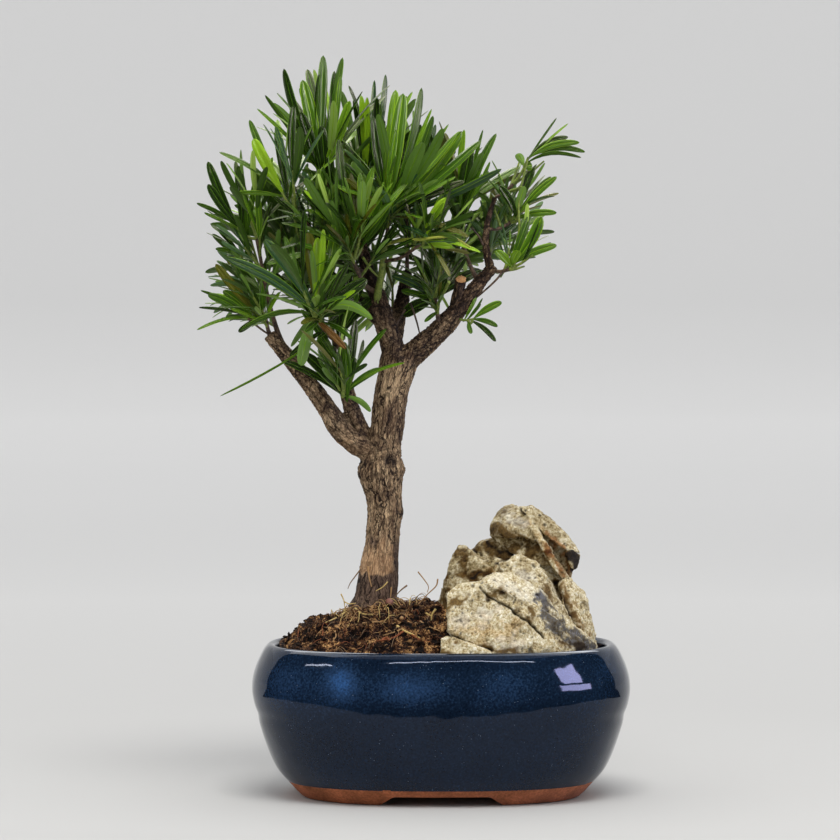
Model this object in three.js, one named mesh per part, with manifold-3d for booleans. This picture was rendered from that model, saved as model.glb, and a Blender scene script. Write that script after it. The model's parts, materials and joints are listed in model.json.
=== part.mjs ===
// A podocarpus bonsai, also called buddhist pine, in a glazed oval pot with a rock set beside its trunk.
// Millimetres, +Z up. Seen from the front, X runs to the right and Y runs to the back.
// The origin is on the table, under the middle of the whole plant.
import * as THREE from "three";
import { mergeVertices } from "three/addons/utils/BufferGeometryUtils.js";
import Module from "manifold-3d";

const wasm = await Module();
wasm.setup();

// Driving dimensions

const POT_WIDTH = 200; // at the belt, the widest line of the bowl
const POT_DEPTH = 152;
const POT_HEIGHT = 80;
const POT_CENTRE_X = 15; // the crown reaches further left than the pot
const POT_CENTRE_Y = -2;
const OVAL_POWER = 2.5; // a plain ellipse is 2, and higher is squarer
const WALL = 6.5;
const FOOT_HEIGHT = 5; // the two feet stand this far above the table
const FLOOR_TOP = 12.5; // inner floor of the pot
const GAP = 0.3; // left between pieces that touch

const TRUNK_FOOT = 99; // height of the flat cut under the trunk, in the soil
const SOIL_RIM = 76; // soil level against the rim
const SHOOT_LENGTH = 21; // the leafy end of a twig
const SHOOT_RADIUS = 1.1;
const LEAVES_PER_SHOOT = 16; // places for leaves on a shoot
const LEAVES_KEPT = 10; // of those, the most that a solid shoot carries
const LEAF_SHAPE = 0.18; // width of a solid leaf for its length
const LEAF_THICKNESS = 0.9; // of a straight leaf, and a bent one is thicker by its bend
const GOLDEN_ANGLE = Math.PI * (3 - Math.sqrt(5));

const v3 = (x, y, z) => new THREE.Vector3(x, y, z);
const mix = (a, b, t) => a + (b - a) * t;
const smooth = (low, high, x) => THREE.MathUtils.smoothstep(x, low, high);

// Random numbers from 0 to 1 that are the same on each run
function seeded(seed) {
  let state = seed >>> 0;
  return () => {
    state = (state + 0x6d2b79f5) >>> 0;
    let n = Math.imul(state ^ (state >>> 15), 1 | state);
    n = (n + Math.imul(n ^ (n >>> 7), 61 | n)) ^ n;
    return ((n ^ (n >>> 14)) >>> 0) / 4294967296;
  };
}

// Solids and meshes

function solidOf(geometry) {
  const bare = geometry.clone();
  bare.deleteAttribute("normal");
  bare.deleteAttribute("uv");
  const merged = mergeVertices(bare, 1e-4);
  return new wasm.Manifold(
    new wasm.Mesh({
      numProp: 3,
      vertProperties: merged.attributes.position.array,
      triVerts: new Uint32Array(merged.index.array),
    }),
  );
}

function geometryOf(solid) {
  const { vertProperties, triVerts } = solid.getMesh();
  const geometry = new THREE.BufferGeometry();
  geometry.setAttribute("position", new THREE.BufferAttribute(vertProperties, 3));
  geometry.setIndex(new THREE.BufferAttribute(triVerts, 1));
  geometry.computeVertexNormals();
  return geometry;
}

function largestBody(solid) {
  const bodies = solid.decompose();
  return bodies.reduce((best, body) => (body.volume() > best.volume() ? body : best));
}

function moveVertices(geometry, place) {
  const position = geometry.attributes.position;
  const point = v3(0, 0, 0);
  for (let i = 0; i < position.count; i++) {
    point.fromBufferAttribute(position, i);
    place(point);
    position.setXYZ(i, point.x, point.y, point.z);
  }
  return geometry;
}

const bonsai = new THREE.Group();
const plant = new THREE.Group();
plant.position.set(POT_CENTRE_X, POT_CENTRE_Y, 0);
bonsai.add(plant);

function addPiece(name, solid, material) {
  const mesh = new THREE.Mesh(geometryOf(solid), material);
  mesh.name = name;
  plant.add(mesh);
}

const finish = (color, roughness) =>
  new THREE.MeshStandardMaterial({ color, roughness, metalness: 0 });
const glaze = finish(0x14284a, 0.15);
const peat = finish(0x3b2618, 0.95);
const limestone = finish(0xb5a98c, 0.9);
const bark = finish(0x6b5543, 0.9);
const greenBark = finish(0x7d8a45, 0.7);
const foliage = finish(0x35631f, 0.5);

// Pot: an oval bowl that swells to a belt and draws in to its rim, on two feet with a flat arch between them

const RIM_INSET = 9.6; // the crest of the rim, in from the belt
const OVAL_SIDES = 36;
const DEPTH_SHARE = 0.85; // the bowl draws in this much less from front to back

// Outer wall from the foot to the crest of the rim, as height and distance in from the belt
const bowlOutline = [
  [0, 26.1],
  [3, 23.2],
  [8.5, 18.6],
  [14, 13.2],
  [22, 9.8],
  [34, 5.7],
  [49, 1.6],
  [58, 0],
  [65, 1.1],
  [73, 4.2],
  [78, 7],
  [POT_HEIGHT, RIM_INSET],
];
const rimInner = [
  [79, 12.2],
  [76, 13.6],
];

function insetAt(height) {
  const above = bowlOutline.findIndex(([h]) => h >= height);
  if (above <= 0) return bowlOutline[0][1];
  const [h0, inset0] = bowlOutline[above - 1];
  const [h1, inset1] = bowlOutline[above];
  return mix(inset0, inset1, (height - h0) / (h1 - h0));
}

// A point of the pot's oval, drawn in from the belt by an inset
function ovalPoint(angle, inset) {
  const round = (c) => Math.sign(c) * Math.abs(c) ** (2 / OVAL_POWER);
  return [
    (POT_WIDTH / 2 - inset) * round(Math.cos(angle)),
    (POT_DEPTH / 2 - DEPTH_SHARE * inset) * round(Math.sin(angle)),
  ];
}

// A turned body whose profile gives height and inset, with the circle drawn out to the pot's oval
function ovalBody(profile, heightAt = (x, y, inset, height) => height) {
  const outline = profile.map(([height, inset]) => new THREE.Vector2(POT_WIDTH / 2 - inset, height));
  const turned = new THREE.LatheGeometry(outline, OVAL_SIDES);
  return moveVertices(turned, (point) => {
    const radius = Math.hypot(point.x, point.z);
    const angle = Math.atan2(-point.z, point.x);
    const onAxis = radius < 1e-6;
    const [x, y] = onAxis ? [0, 0] : ovalPoint(angle, POT_WIDTH / 2 - radius);
    point.set(x, y, heightAt(x, y, POT_WIDTH / 2 - radius, point.y));
  });
}

const AXIS = POT_WIDTH / 2; // the inset that lies on the pot's axis
const innerWall = [70, 49, 24].map((height) => [height, insetAt(height) + WALL]);

function potSolid() {
  const recess = FOOT_HEIGHT + 0.6;
  const profile = [
    [recess, AXIS],
    [recess, 42],
    [0, 40],
    ...bowlOutline,
    ...rimInner,
    ...innerWall,
    [FLOOR_TOP, insetAt(FLOOR_TOP) + WALL + 3],
    [FLOOR_TOP, AXIS],
  ];
  const bowl = solidOf(ovalBody(profile));

  // The arch runs right through under the bowl, wider at the table than above
  const arch = new THREE.Shape();
  arch.moveTo(-32, -1).lineTo(-32, 0).lineTo(-25, FOOT_HEIGHT);
  arch.lineTo(25, FOOT_HEIGHT).lineTo(32, 0).lineTo(32, -1).closePath();
  const archway = new THREE.ExtrudeGeometry(arch, { depth: POT_DEPTH, bevelEnabled: false });
  archway.rotateX(Math.PI / 2).translate(0, POT_DEPTH / 2, 0);

  // Two holes let water out through the floor
  const drains = [-38, 38].map((x) => {
    const drain = new THREE.CylinderGeometry(6, 6, 20, 16);
    return solidOf(drain.rotateX(Math.PI / 2).translate(x, 0, FLOOR_TOP - 6));
  });
  return drains.reduce((pot, drain) => pot.subtract(drain), bowl.subtract(solidOf(archway)));
}

// Limbs: each is one tapering tube along a smooth line, given by points of [x, y, z, radius] from foot to tip

class Limb {
  constructor(stations, sides, rings) {
    this.stations = stations;
    this.line = new THREE.CatmullRomCurve3(stations.map(([x, y, z]) => v3(x, y, z)));
    this.sides = sides;
    this.rings = rings;
  }

  radiusAt(t) {
    const along = t * (this.stations.length - 1);
    const i = Math.min(Math.floor(along), this.stations.length - 2);
    const share = smooth(0, 1, along - i);
    return mix(this.stations[i][3], this.stations[i + 1][3], share);
  }

  // The tube, thicker all round by extra and longer by it at both ends
  tube(extra = 0) {
    const { line, sides, rings } = this;
    const geometry = new THREE.CylinderGeometry(1, 1, 1, sides, rings);
    const frames = [];
    let across = v3(0, 1, 0.13);
    for (let i = 0; i <= rings; i++) {
      const t = i / rings;
      const forward = line.getTangent(t);
      across = across.clone().addScaledVector(forward, -across.dot(forward)).normalize();
      const centre = line.getPoint(t);
      const overrun = i === 0 ? -extra : i === rings ? extra : 0;
      centre.addScaledVector(forward, overrun);
      const side = across.clone().cross(forward);
      frames.push({ centre, across, side, radius: this.radiusAt(t) + extra });
    }
    return moveVertices(geometry, (point) => {
      const { centre, across: u, side: w, radius } = frames[Math.round((point.y + 0.5) * rings)];
      const { x, z } = point;
      point.copy(centre).addScaledVector(u, x * radius).addScaledVector(w, z * radius);
    });
  }

  // Distance from a point to the limb's bark
  clearance(point) {
    let least = Infinity;
    for (let i = 0; i <= 24; i++) {
      const t = i / 24;
      least = Math.min(least, this.line.getPoint(t).distanceTo(point) - this.radiusAt(t));
    }
    return least;
  }
}

const limbs = {
  // The trunk leans a little right, swells at the knot of its lower fork and ends at the upper fork
  trunk: new Limb(
    [
      [-35.5, 0, 92, 16],
      [-34, 0, 107, 11],
      [-31, 0, 134, 9],
      [-29.8, 0, 152, 9.2],
      [-31.5, 0, 171, 11.8],
      [-29, 0, 190, 8.8],
      [-26, 0, 213, 9],
      [-21.5, 0, 231, 10],
    ],
    10,
    16,
  ),
  bough_left: new Limb(
    [
      [-34, 0, 179, 6.8],
      [-51, -3, 191, 6.3],
      [-63.3, -6, 208.5, 4.9],
      [-77, -9, 226.5, 4.2],
      [-90.3, -12, 242.6, 3.6],
    ],
    8,
    8,
  ),
  bough_left_upright: new Limb(
    [
      [-42, -1, 190, 5],
      [-48.5, -5, 208, 4.2],
      [-51, -11, 224, 3.2],
      [-55.5, -20, 242, 2.2],
    ],
    8,
    6,
  ),
  leader: new Limb(
    [
      [-23, 0, 228, 7],
      [-28, 1, 243, 5.8],
      [-33, 3, 261, 4.6],
      [-39, 6, 277, 3.5],
      [-41.5, 9, 291, 2.4],
    ],
    8,
    8,
  ),
  bough_right: new Limb(
    [
      [-19, 0, 229, 7],
      [-9.5, 0, 237, 6.1],
      [2, 0, 247.5, 5.6],
      [14, 0, 262, 4.2],
      [27.5, 0, 279, 2.9],
    ],
    8,
    9,
  ),
  stub_right: new Limb(
    [
      [7.5, 0, 255, 3.4],
      [10.6, -2, 272, 2.7],
    ],
    8,
    2,
  ),
  riser_right: new Limb(
    [
      [26, 0, 277, 2.3],
      [23.6, 1, 291, 1.8],
      [25.4, 2, 305, 1.5],
      [28.5, 2, 315, 1.2],
    ],
    6,
    5,
  ),
  green_stem: new Limb(
    [
      [-33.5, 0, 262, 2.1],
      [-31.5, -5, 274, 1.8],
      [-29.5, -9, 292, 1.6],
    ],
    6,
    4,
  ),
  bough_back: new Limb(
    [
      [-26, 2, 238, 5],
      [-22, 18, 255, 4.1],
      [-18, 32, 276, 2.7],
    ],
    8,
    6,
  ),
  bough_back_left: new Limb(
    [
      [-31, 3, 250, 4.2],
      [-49, 17, 264, 3.3],
      [-66, 29, 278, 2.3],
    ],
    8,
    6,
  ),
};

// Each limb is cut clear of the limbs that it grows from
const growsFrom = {
  bough_left: ["trunk"],
  bough_left_upright: ["trunk", "bough_left"],
  leader: ["trunk"],
  bough_right: ["trunk", "leader"],
  stub_right: ["bough_right"],
  riser_right: ["bough_right"],
  green_stem: ["leader"],
  bough_back: ["trunk", "leader", "bough_right"],
  bough_back_left: ["leader", "bough_back"],
};

// The trunk is cut flat below, and its pocket in the soil a gap lower
function belowGround(height) {
  const box = new THREE.BoxGeometry(60, 60, 30);
  return solidOf(box.translate(limbs.trunk.stations[0][0], 0, height - 15));
}

const inflated = {};
for (const [name, limb] of Object.entries(limbs)) inflated[name] = solidOf(limb.tube(GAP));
inflated.trunk = inflated.trunk.subtract(belowGround(TRUNK_FOOT - GAP));

function limbSolid(name) {
  const parents = growsFrom[name] ?? [];
  const whole = solidOf(limbs[name].tube());
  const clear = parents.reduce((solid, parent) => solid.subtract(inflated[parent]), whole);
  return largestBody(name === "trunk" ? clear.subtract(belowGround(TRUNK_FOOT)) : clear);
}

// Foliage: each mass is a stem from a limb to its heart, where leafy shoots fan out round a main lean.
// along is where on the limb the stem starts, spread is the fan's half angle in degrees.

const masses = [
  { name: "top_left", limb: "leader", along: 0.84, heart: [-61, -9, 325], lean: [-0.05, -0.1, 1], shoots: 3, spread: 22, leaf: 52 },
  { name: "upper_left", limb: "leader", along: 0.7, heart: [-76, -21, 308], lean: [-0.3, -0.15, 0.95], shoots: 2, spread: 22, leaf: 46 },
  { name: "top_middle", limb: "leader", along: 1, heart: [-41, 14, 318], lean: [0.1, 0.1, 1], shoots: 3, spread: 20, leaf: 46 },
  { name: "top_front", limb: "green_stem", along: 1, heart: [-27, -14, 304], lean: [0.25, -0.12, 1], shoots: 3, spread: 22, leaf: 58 },
  { name: "top_right", limb: "bough_right", along: 0.86, heart: [8, 8, 304], lean: [0.1, 0.1, 1], shoots: 3, spread: 24, leaf: 46 },
  { name: "right_tip", limb: "riser_right", along: 1, heart: [38, 1, 322], lean: [0.85, 0, 0.55], shoots: 1, spread: 0, leaf: 34 },
  { name: "right_upper", limb: "riser_right", along: 0.5, heart: [37, 5, 302], lean: [0.3, 0.1, 1], shoots: 2, spread: 22, leaf: 32 },
  { name: "right_lower", limb: "bough_right", along: 0.97, heart: [36, -6, 277], lean: [0.8, -0.1, 0.75], shoots: 2, spread: 26, leaf: 28 },
  { name: "right_under", limb: "bough_right", along: 0.6, heart: [14, -5, 250], lean: [1, -0.2, 0.05], shoots: 1, spread: 0, leaf: 17 },
  { name: "middle_right", limb: "bough_right", along: 0.45, heart: [-3, -9, 262], lean: [-0.3, -0.2, 0.8], shoots: 2, spread: 30, leaf: 30 },
  { name: "middle_front", limb: "green_stem", along: 0.7, heart: [-10, -18, 291], lean: [0.9, -0.3, 0.45], shoots: 2, spread: 22, leaf: 36 },
  { name: "left_top", limb: "bough_left", along: 0.86, heart: [-97, -4, 293], lean: [-0.1, -0.1, 1], shoots: 2, spread: 20, leaf: 42 },
  { name: "left_middle", limb: "bough_left", along: 0.76, heart: [-94, 10, 270], lean: [-0.45, 0.25, 0.85], shoots: 2, spread: 24, leaf: 40 },
  { name: "left_lower", limb: "bough_left", along: 0.99, heart: [-92, -16, 252], lean: [-0.75, -0.2, 0.6], shoots: 2, spread: 28, leaf: 27 },
  { name: "front_left", limb: "bough_left_upright", along: 1, heart: [-66, -34, 252], lean: [-0.1, -0.55, 0.85], shoots: 2, spread: 16, leaf: 48 },
  { name: "front_low", limb: "bough_left_upright", along: 0.45, heart: [-51, -20, 211], lean: [-0.1, -0.3, 1], shoots: 1, spread: 0, leaf: 42 },
  { name: "inner_left", limb: "bough_left_upright", along: 0.94, heart: [-74, 2, 262], lean: [-0.1, 0, 1], shoots: 2, spread: 18, leaf: 34 },
  { name: "inner_front", limb: "leader", along: 0.56, heart: [-46, -28, 281], lean: [-0.05, -0.35, 0.95], shoots: 3, spread: 24, leaf: 44 },
  { name: "front_right", limb: "bough_right", along: 0.72, heart: [4, -26, 270], lean: [0.2, -0.55, 0.8], shoots: 2, spread: 26, leaf: 38 },
  { name: "back_left", limb: "bough_back_left", along: 1, heart: [-80, 32, 288], lean: [-0.35, 0.35, 0.9], shoots: 3, spread: 26, leaf: 44 },
  { name: "back_left_low", limb: "bough_back_left", along: 0.7, heart: [-64, 36, 258], lean: [-0.4, 0.75, 0.45], shoots: 2, spread: 28, leaf: 36 },
  { name: "back_middle", limb: "bough_back_left", along: 0.5, heart: [-48, 36, 292], lean: [-0.05, 0.3, 0.95], shoots: 3, spread: 24, leaf: 44 },
  { name: "back_top", limb: "bough_back", along: 1, heart: [-18, 30, 306], lean: [0.15, 0.2, 1], shoots: 3, spread: 26, leaf: 46 },
  { name: "back_right", limb: "bough_back", along: 0.8, heart: [2, 38, 280], lean: [0.5, 0.5, 0.8], shoots: 3, spread: 26, leaf: 38 },
  { name: "back_low", limb: "bough_back", along: 0.6, heart: [-30, 38, 258], lean: [-0.1, 0.9, 0.45], shoots: 2, spread: 28, leaf: 34 },
  { name: "right_back", limb: "riser_right", along: 0.2, heart: [27, 21, 288], lean: [0.4, 0.6, 0.8], shoots: 2, spread: 24, leaf: 36 },
];

// Two directions square to a third
function squareTo(forward) {
  const guide = Math.abs(forward.z) > 0.9 ? v3(1, 0, 0) : v3(0, 0, 1);
  const side = guide.cross(forward).normalize();
  return [side, forward.clone().cross(side)];
}

// The places of a shoot's leaves, from its foot to its tip: root, direction, face and length.
// They turn by the golden angle, stand out near the foot and close up round the tip.
function leafPlaces(shoot, leafLength, random) {
  const places = [];
  const turnStart = random() * 2 * Math.PI;
  for (let k = 0; k < LEAVES_PER_SHOOT; k++) {
    const t = (k + 0.5) / LEAVES_PER_SHOOT;
    const root = shoot.line.getPoint(mix(0.12, 0.98, t));
    const forward = shoot.line.getTangent(t);
    const [side, up] = squareTo(forward);
    const turn = turnStart + k * GOLDEN_ANGLE;
    const outward = side.multiplyScalar(Math.cos(turn)).addScaledVector(up, Math.sin(turn));
    const open = THREE.MathUtils.degToRad(mix(54, 13, t ** 0.8) + 14 * (random() - 0.5));
    const direction = forward.clone().multiplyScalar(Math.cos(open));
    direction.addScaledVector(outward, Math.sin(open));
    const face = forward.clone().multiplyScalar(Math.sin(open)).addScaledVector(outward, -Math.cos(open));
    face.applyAxisAngle(direction, 0.9 * (random() - 0.5));
    const length = leafLength * mix(0.78, 1.05, random()) * (1 - 0.12 * t ** 3);
    const bend = mix(0.4, 0.05, t) * mix(0.3, 1.3, random());
    places.push({ root, direction, face, length, bend });
  }
  return places;
}

// The middle line of a leaf, which bends back and sags a little towards its tip
function leafPoint(leaf, s) {
  const reach = leaf.length * s;
  const back = leaf.length * leaf.bend * s * s * 0.5;
  const point = leaf.root.clone().addScaledVector(leaf.direction, reach);
  point.addScaledVector(leaf.face, -back);
  point.z -= 0.06 * leaf.length * s * s;
  return point;
}

// A solid leaf: a lozenge from root to tip, flat across its widest line and keeled below
const WIDEST = 0.62;

function leafSolid(leaf) {
  const blade = new THREE.TetrahedronGeometry(1);
  const across = leaf.face.clone().cross(leaf.direction).normalize();
  const halfWidth = (LEAF_SHAPE * leaf.length) / 2;
  return moveVertices(blade, (point) => {
    const { x, z } = point;
    if (z > 0) {
      point.copy(leafPoint(leaf, WIDEST)).addScaledVector(across, Math.sign(x) * halfWidth);
      point.addScaledVector(leaf.face, LEAF_THICKNESS);
    } else {
      point.copy(leafPoint(leaf, x > 0 ? 1 : 0));
    }
  });
}

// The stem and the shoots of a mass
function growMass(mass, index) {
  const random = seeded(1000 + 37 * index);
  const limb = limbs[mass.limb];
  const foot = limb.line.getPoint(mass.along);
  const heart = v3(...mass.heart);
  const rise = foot.distanceTo(heart) * 0.25;
  const elbow = foot.clone().lerp(heart, 0.5).add(v3(0, 0, -rise * 0.4));
  const stemRadius = mix(SHOOT_RADIUS, limb.radiusAt(mass.along), 0.35);
  const stem = new Limb(
    [
      [...foot.toArray(), stemRadius],
      [...elbow.toArray(), mix(stemRadius, SHOOT_RADIUS, 0.6)],
      [...heart.toArray(), SHOOT_RADIUS * 1.1],
    ],
    4,
    3,
  );
  const lean = v3(...mass.lean).normalize();
  const [side, up] = squareTo(lean);
  const shoots = [];
  for (let k = 0; k < mass.shoots; k++) {
    const turn = k * ((2 * Math.PI) / mass.shoots) + random() * 1.2;
    const fan = Math.tan(THREE.MathUtils.degToRad(mass.spread)) * mix(0.8, 1.15, random());
    const direction = lean.clone();
    if (mass.shoots > 1) {
      direction.addScaledVector(side, fan * Math.cos(turn)).addScaledVector(up, fan * Math.sin(turn));
      direction.normalize();
    }
    const length = SHOOT_LENGTH * mix(0.85, 1.1, random()) * Math.min(1, mass.leaf / 38);
    const middle = heart.clone().addScaledVector(direction, length * 0.5);
    const tip = heart.clone().addScaledVector(direction, length).add(v3(0, 0, length * 0.08));
    const line = new Limb(
      [
        [...heart.toArray(), SHOOT_RADIUS * 1.1],
        [...middle.toArray(), SHOOT_RADIUS],
        [...tip.toArray(), SHOOT_RADIUS * 0.6],
      ],
      3,
      2,
    );
    shoots.push({ line: line.line, limb: line, leaves: leafPlaces(line, mass.leaf, random) });
  }
  return { ...mass, stem, shoots };
}

const grown = masses.map(growMass);

// Distance from a point to the middle lines of a mass's shoots
for (const mass of grown) mass.axis = mass.shoots.flatMap((shoot) => shoot.limb.line.getPoints(8));
const distanceTo = (mass, point) => Math.min(...mass.axis.map((p) => p.distanceTo(point)));

const SPACE_MARGIN = 1; // left each side of the border between two masses
const WOOD_MARGIN = 1.4; // left between a leaf and a limb or another mass's stem
const LEAF_SPACING = 4; // least distance between the middle lines of two leaves, past their roots

// A mass keeps to the space that is nearest its own shoots, clear of every limb and other stem
function keepsToSpace(mass, leaf) {
  const across = leaf.direction.clone().cross(leaf.face).normalize();
  const others = grown.filter((other) => other !== mass);
  const wood = [...Object.values(limbs), ...others.map((other) => other.stem)];
  for (const s of [0.12, 0.3, 0.5, WIDEST, 0.8, 1]) {
    const half = s > 0.4 && s < 0.9 ? (LEAF_SHAPE * leaf.length) / 2 : 0;
    for (const sideways of [-half, half]) {
      const point = leafPoint(leaf, s).addScaledVector(across, sideways);
      const own = distanceTo(mass, point) + SPACE_MARGIN;
      if (others.some((other) => distanceTo(other, point) < own)) return false;
      if (wood.some((limb) => limb.clearance(point) < WOOD_MARGIN)) return false;
    }
  }
  return true;
}

// The leaves of a mass that keep to its space and stand apart from each other
function leavesKept(mass) {
  const kept = [];
  const spine = (leaf) => [0.4, WIDEST, 0.85, 1].map((s) => leafPoint(leaf, s));
  for (const shoot of mass.shoots) {
    const order = [...shoot.leaves.filter((_, i) => i % 2), ...shoot.leaves.filter((_, i) => !(i % 2))];
    let count = 0;
    for (const leaf of order) {
      const points = spine(leaf);
      const crowded = kept.some((other) => {
        return other.points.some((p) => points.some((q) => p.distanceTo(q) < LEAF_SPACING));
      });
      if (count === LEAVES_KEPT || crowded || !keepsToSpace(mass, leaf)) continue;
      kept.push({ leaf, points });
      count += 1;
    }
  }
  return kept.map(({ leaf }) => leaf);
}

function massSolid(mass) {
  const parts = [mass.stem, ...mass.shoots.map((shoot) => shoot.limb)].map((twig) => solidOf(twig.tube()));
  parts.push(...leavesKept(mass).map((leaf) => solidOf(leafSolid(leaf))));
  const fused = wasm.Manifold.union(parts);
  const clear = Object.values(inflated).reduce((solid, limb) => solid.subtract(limb), fused);
  return largestBody(clear);
}

// Rock: weathered limestone in seven pieces. Each is a lump with its own outline from the front,
// given by points of [x, z], a middle in depth, a half depth, and a slope that turns it to the side.

const rocks = {
  rock_front: {
    depth: [-40, 17],
    slope: 0.26,
    detail: 3,
    outline: [
      [3, 78.5], [1.5, 95], [3, 109.5], [7.5, 113.5],
      [14.5, 115], [26, 120], [36.5, 119.5], [48, 116],
      [55.5, 109.5], [63, 100.5], [70.5, 89], [75.5, 78.5],
      [69, 66.5], [40.5, 64], [12, 66.5],
    ],
  },
  rock_middle: {
    depth: [-19, 12],
    slope: 0.2,
    detail: 2,
    outline: [
      [29, 104], [32.5, 117], [36, 125], [41.5, 129],
      [48.5, 126], [55, 119.5], [59, 110], [62, 96],
      [54, 83], [36, 83],
    ],
  },
  rock_right: {
    depth: [-6, 15],
    slope: 0.1,
    detail: 3,
    outline: [
      [55, 97.5], [58.5, 111], [63, 117.5], [68.5, 115],
      [72.5, 107.5], [77, 101.5], [78.5, 92.5], [82.5, 76.5],
      [78.5, 61], [62.5, 61],
    ],
  },
  rock_shoulder: {
    depth: [6, 17],
    slope: 0.1,
    detail: 3,
    outline: [
      [-1.5, 75.5], [0, 102], [2, 115.5], [4.5, 122.5],
      [8.5, 130.5], [15.5, 131], [25, 135], [33, 131],
      [37.5, 120.5], [42, 97], [39.5, 59.5], [5, 59.5],
    ],
  },
  rock_head: {
    depth: [6, 14],
    slope: 0,
    detail: 3,
    outline: [
      [25.5, 129.5], [26, 137.5], [27.5, 143.5], [31.5, 149],
      [38, 153], [47, 152.5], [53, 149.5], [59.5, 143.5],
      [63, 134], [62, 120.5], [56.5, 107.5], [39, 107.5],
      [29, 120.5],
    ],
  },
  rock_overhang: {
    depth: [3, 12],
    slope: 0,
    detail: 2,
    outline: [
      [58, 131.5], [58.5, 141.5], [62, 142.5], [70, 135],
      [73.5, 127.5], [74, 123], [72, 117.5], [67, 118],
      [61.5, 123.5],
    ],
  },
  rock_pebble: {
    depth: [-57, 5.5],
    slope: 0.2,
    detail: 2,
    outline: [
      [-1, 83], [2, 87.5], [7, 87.5], [10.5, 82],
      [10.5, 77], [4.5, 75], [-0.5, 77],
    ],
  },
};

// Distance from a middle to the outline, in the direction of an angle
function reach(outline, middle, angle) {
  const ray = new THREE.Vector2(Math.cos(angle), Math.sin(angle));
  let longest = 0;
  outline.forEach(([x0, z0], i) => {
    const [x1, z1] = outline[(i + 1) % outline.length];
    const start = new THREE.Vector2(x0, z0).sub(middle);
    const edge = new THREE.Vector2(x1 - x0, z1 - z0);
    const det = ray.cross(edge);
    const along = start.cross(ray) / det;
    if (Math.abs(det) > 1e-9 && along >= 0 && along <= 1) {
      longest = Math.max(longest, start.cross(edge) / det);
    }
  });
  return longest;
}

const ROCK_SQUARENESS = 0.62; // 1 gives a round section in depth, and less a boxy one

function rockBody({ depth, slope, detail, outline }, grow = 0) {
  const middle = new THREE.Vector2();
  outline.forEach(([x, z]) => middle.add(new THREE.Vector2(x, z).divideScalar(outline.length)));
  return moveVertices(new THREE.IcosahedronGeometry(1, detail), (point) => {
    const flat = Math.hypot(point.x, point.z);
    const angle = Math.atan2(point.z, point.x);
    const rough = 1 + 0.05 * Math.sin(5 * point.x + 4 * point.y) * Math.cos(6 * point.z - 3 * point.y);
    const wide = (reach(outline, middle, angle) + grow) * flat ** ROCK_SQUARENESS;
    const back = Math.sign(point.y) * Math.abs(point.y) ** ROCK_SQUARENESS;
    const x = wide * Math.cos(angle);
    const y = depth[0] + back * (depth[1] * rough + grow) + slope * x;
    point.set(middle.x + x, y, middle.y + wide * Math.sin(angle));
  });
}

// Soil: fills the bowl and mounds up round the trunk, with a pocket cut for the trunk and each rock

const MOUND_RISE = 17; // from the rim to the level top of the mound
const MOUND_SLOPE = 26; // how far in from the rim it rises
const SOIL_CLEARANCE = 0.5; // between the soil and the wall of the pot
const SOIL_INSET = 14.1; // edge of the soil, in from the belt

function soilHeight(x, y, inset) {
  const inwards = smooth(0, MOUND_SLOPE, inset - SOIL_INSET);
  const towardsRock = smooth(-5, 30, x);
  const atTrunk = Math.exp(-(((x + 34) / 24) ** 2 + (y / 24) ** 2));
  const lumps = Math.sin(x * 0.31 + y * 0.17) * Math.cos(y * 0.29 - x * 0.11);
  return SOIL_RIM + inwards * (mix(MOUND_RISE, 4, towardsRock) + 12 * atTrunk + 1.1 * lumps);
}

function soilSolid() {
  const wall = [...innerWall].reverse().map(([height, inset]) => [height, inset + SOIL_CLEARANCE]);
  const profile = [
    [FLOOR_TOP + GAP, AXIS],
    [FLOOR_TOP + GAP, insetAt(FLOOR_TOP) + WALL + 3 + 2 * SOIL_CLEARANCE],
    ...wall,
    ...[0, 4, 10, 18, 29, 43, 60].map((inwards) => [SOIL_RIM, SOIL_INSET + inwards]),
    [SOIL_RIM, AXIS],
  ];
  return solidOf(
    ovalBody(profile, (x, y, inset, height) => {
      return height < SOIL_RIM - 0.01 ? height : soilHeight(x, y, inset);
    }),
  );
}

// Assembly

addPiece("pot", potSolid(), glaze);

// Rocks lean on the inner wall of the rim, and each is cut clear of the ones before it
const insideRim = solidOf(
  ovalBody([
    [40, AXIS],
    [40, SOIL_INSET],
    [200, SOIL_INSET],
    [200, AXIS],
  ]),
);
const rockPockets = Object.values(rocks).map((rock) => solidOf(rockBody(rock, GAP)));
const pockets = [inflated.trunk, ...rockPockets];
addPiece("soil", largestBody(pockets.reduce((body, pocket) => body.subtract(pocket), soilSolid())), peat);

Object.entries(rocks).forEach(([name, rock], i) => {
  const whole = solidOf(rockBody(rock)).intersect(insideRim);
  const before = rockPockets.slice(0, i);
  addPiece(name, largestBody(before.reduce((piece, pocket) => piece.subtract(pocket), whole)), limestone);
});

for (const name of Object.keys(limbs)) {
  addPiece(name, limbSolid(name), name === "green_stem" ? greenBark : bark);
}
for (const mass of grown) addPiece("foliage_" + mass.name, massSolid(mass), foliage);

export default bonsai;
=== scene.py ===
import json
import math
import random

import bpy
import numpy as np
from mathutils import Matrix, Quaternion, Vector, noise
from mathutils.bvhtree import BVHTree

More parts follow.
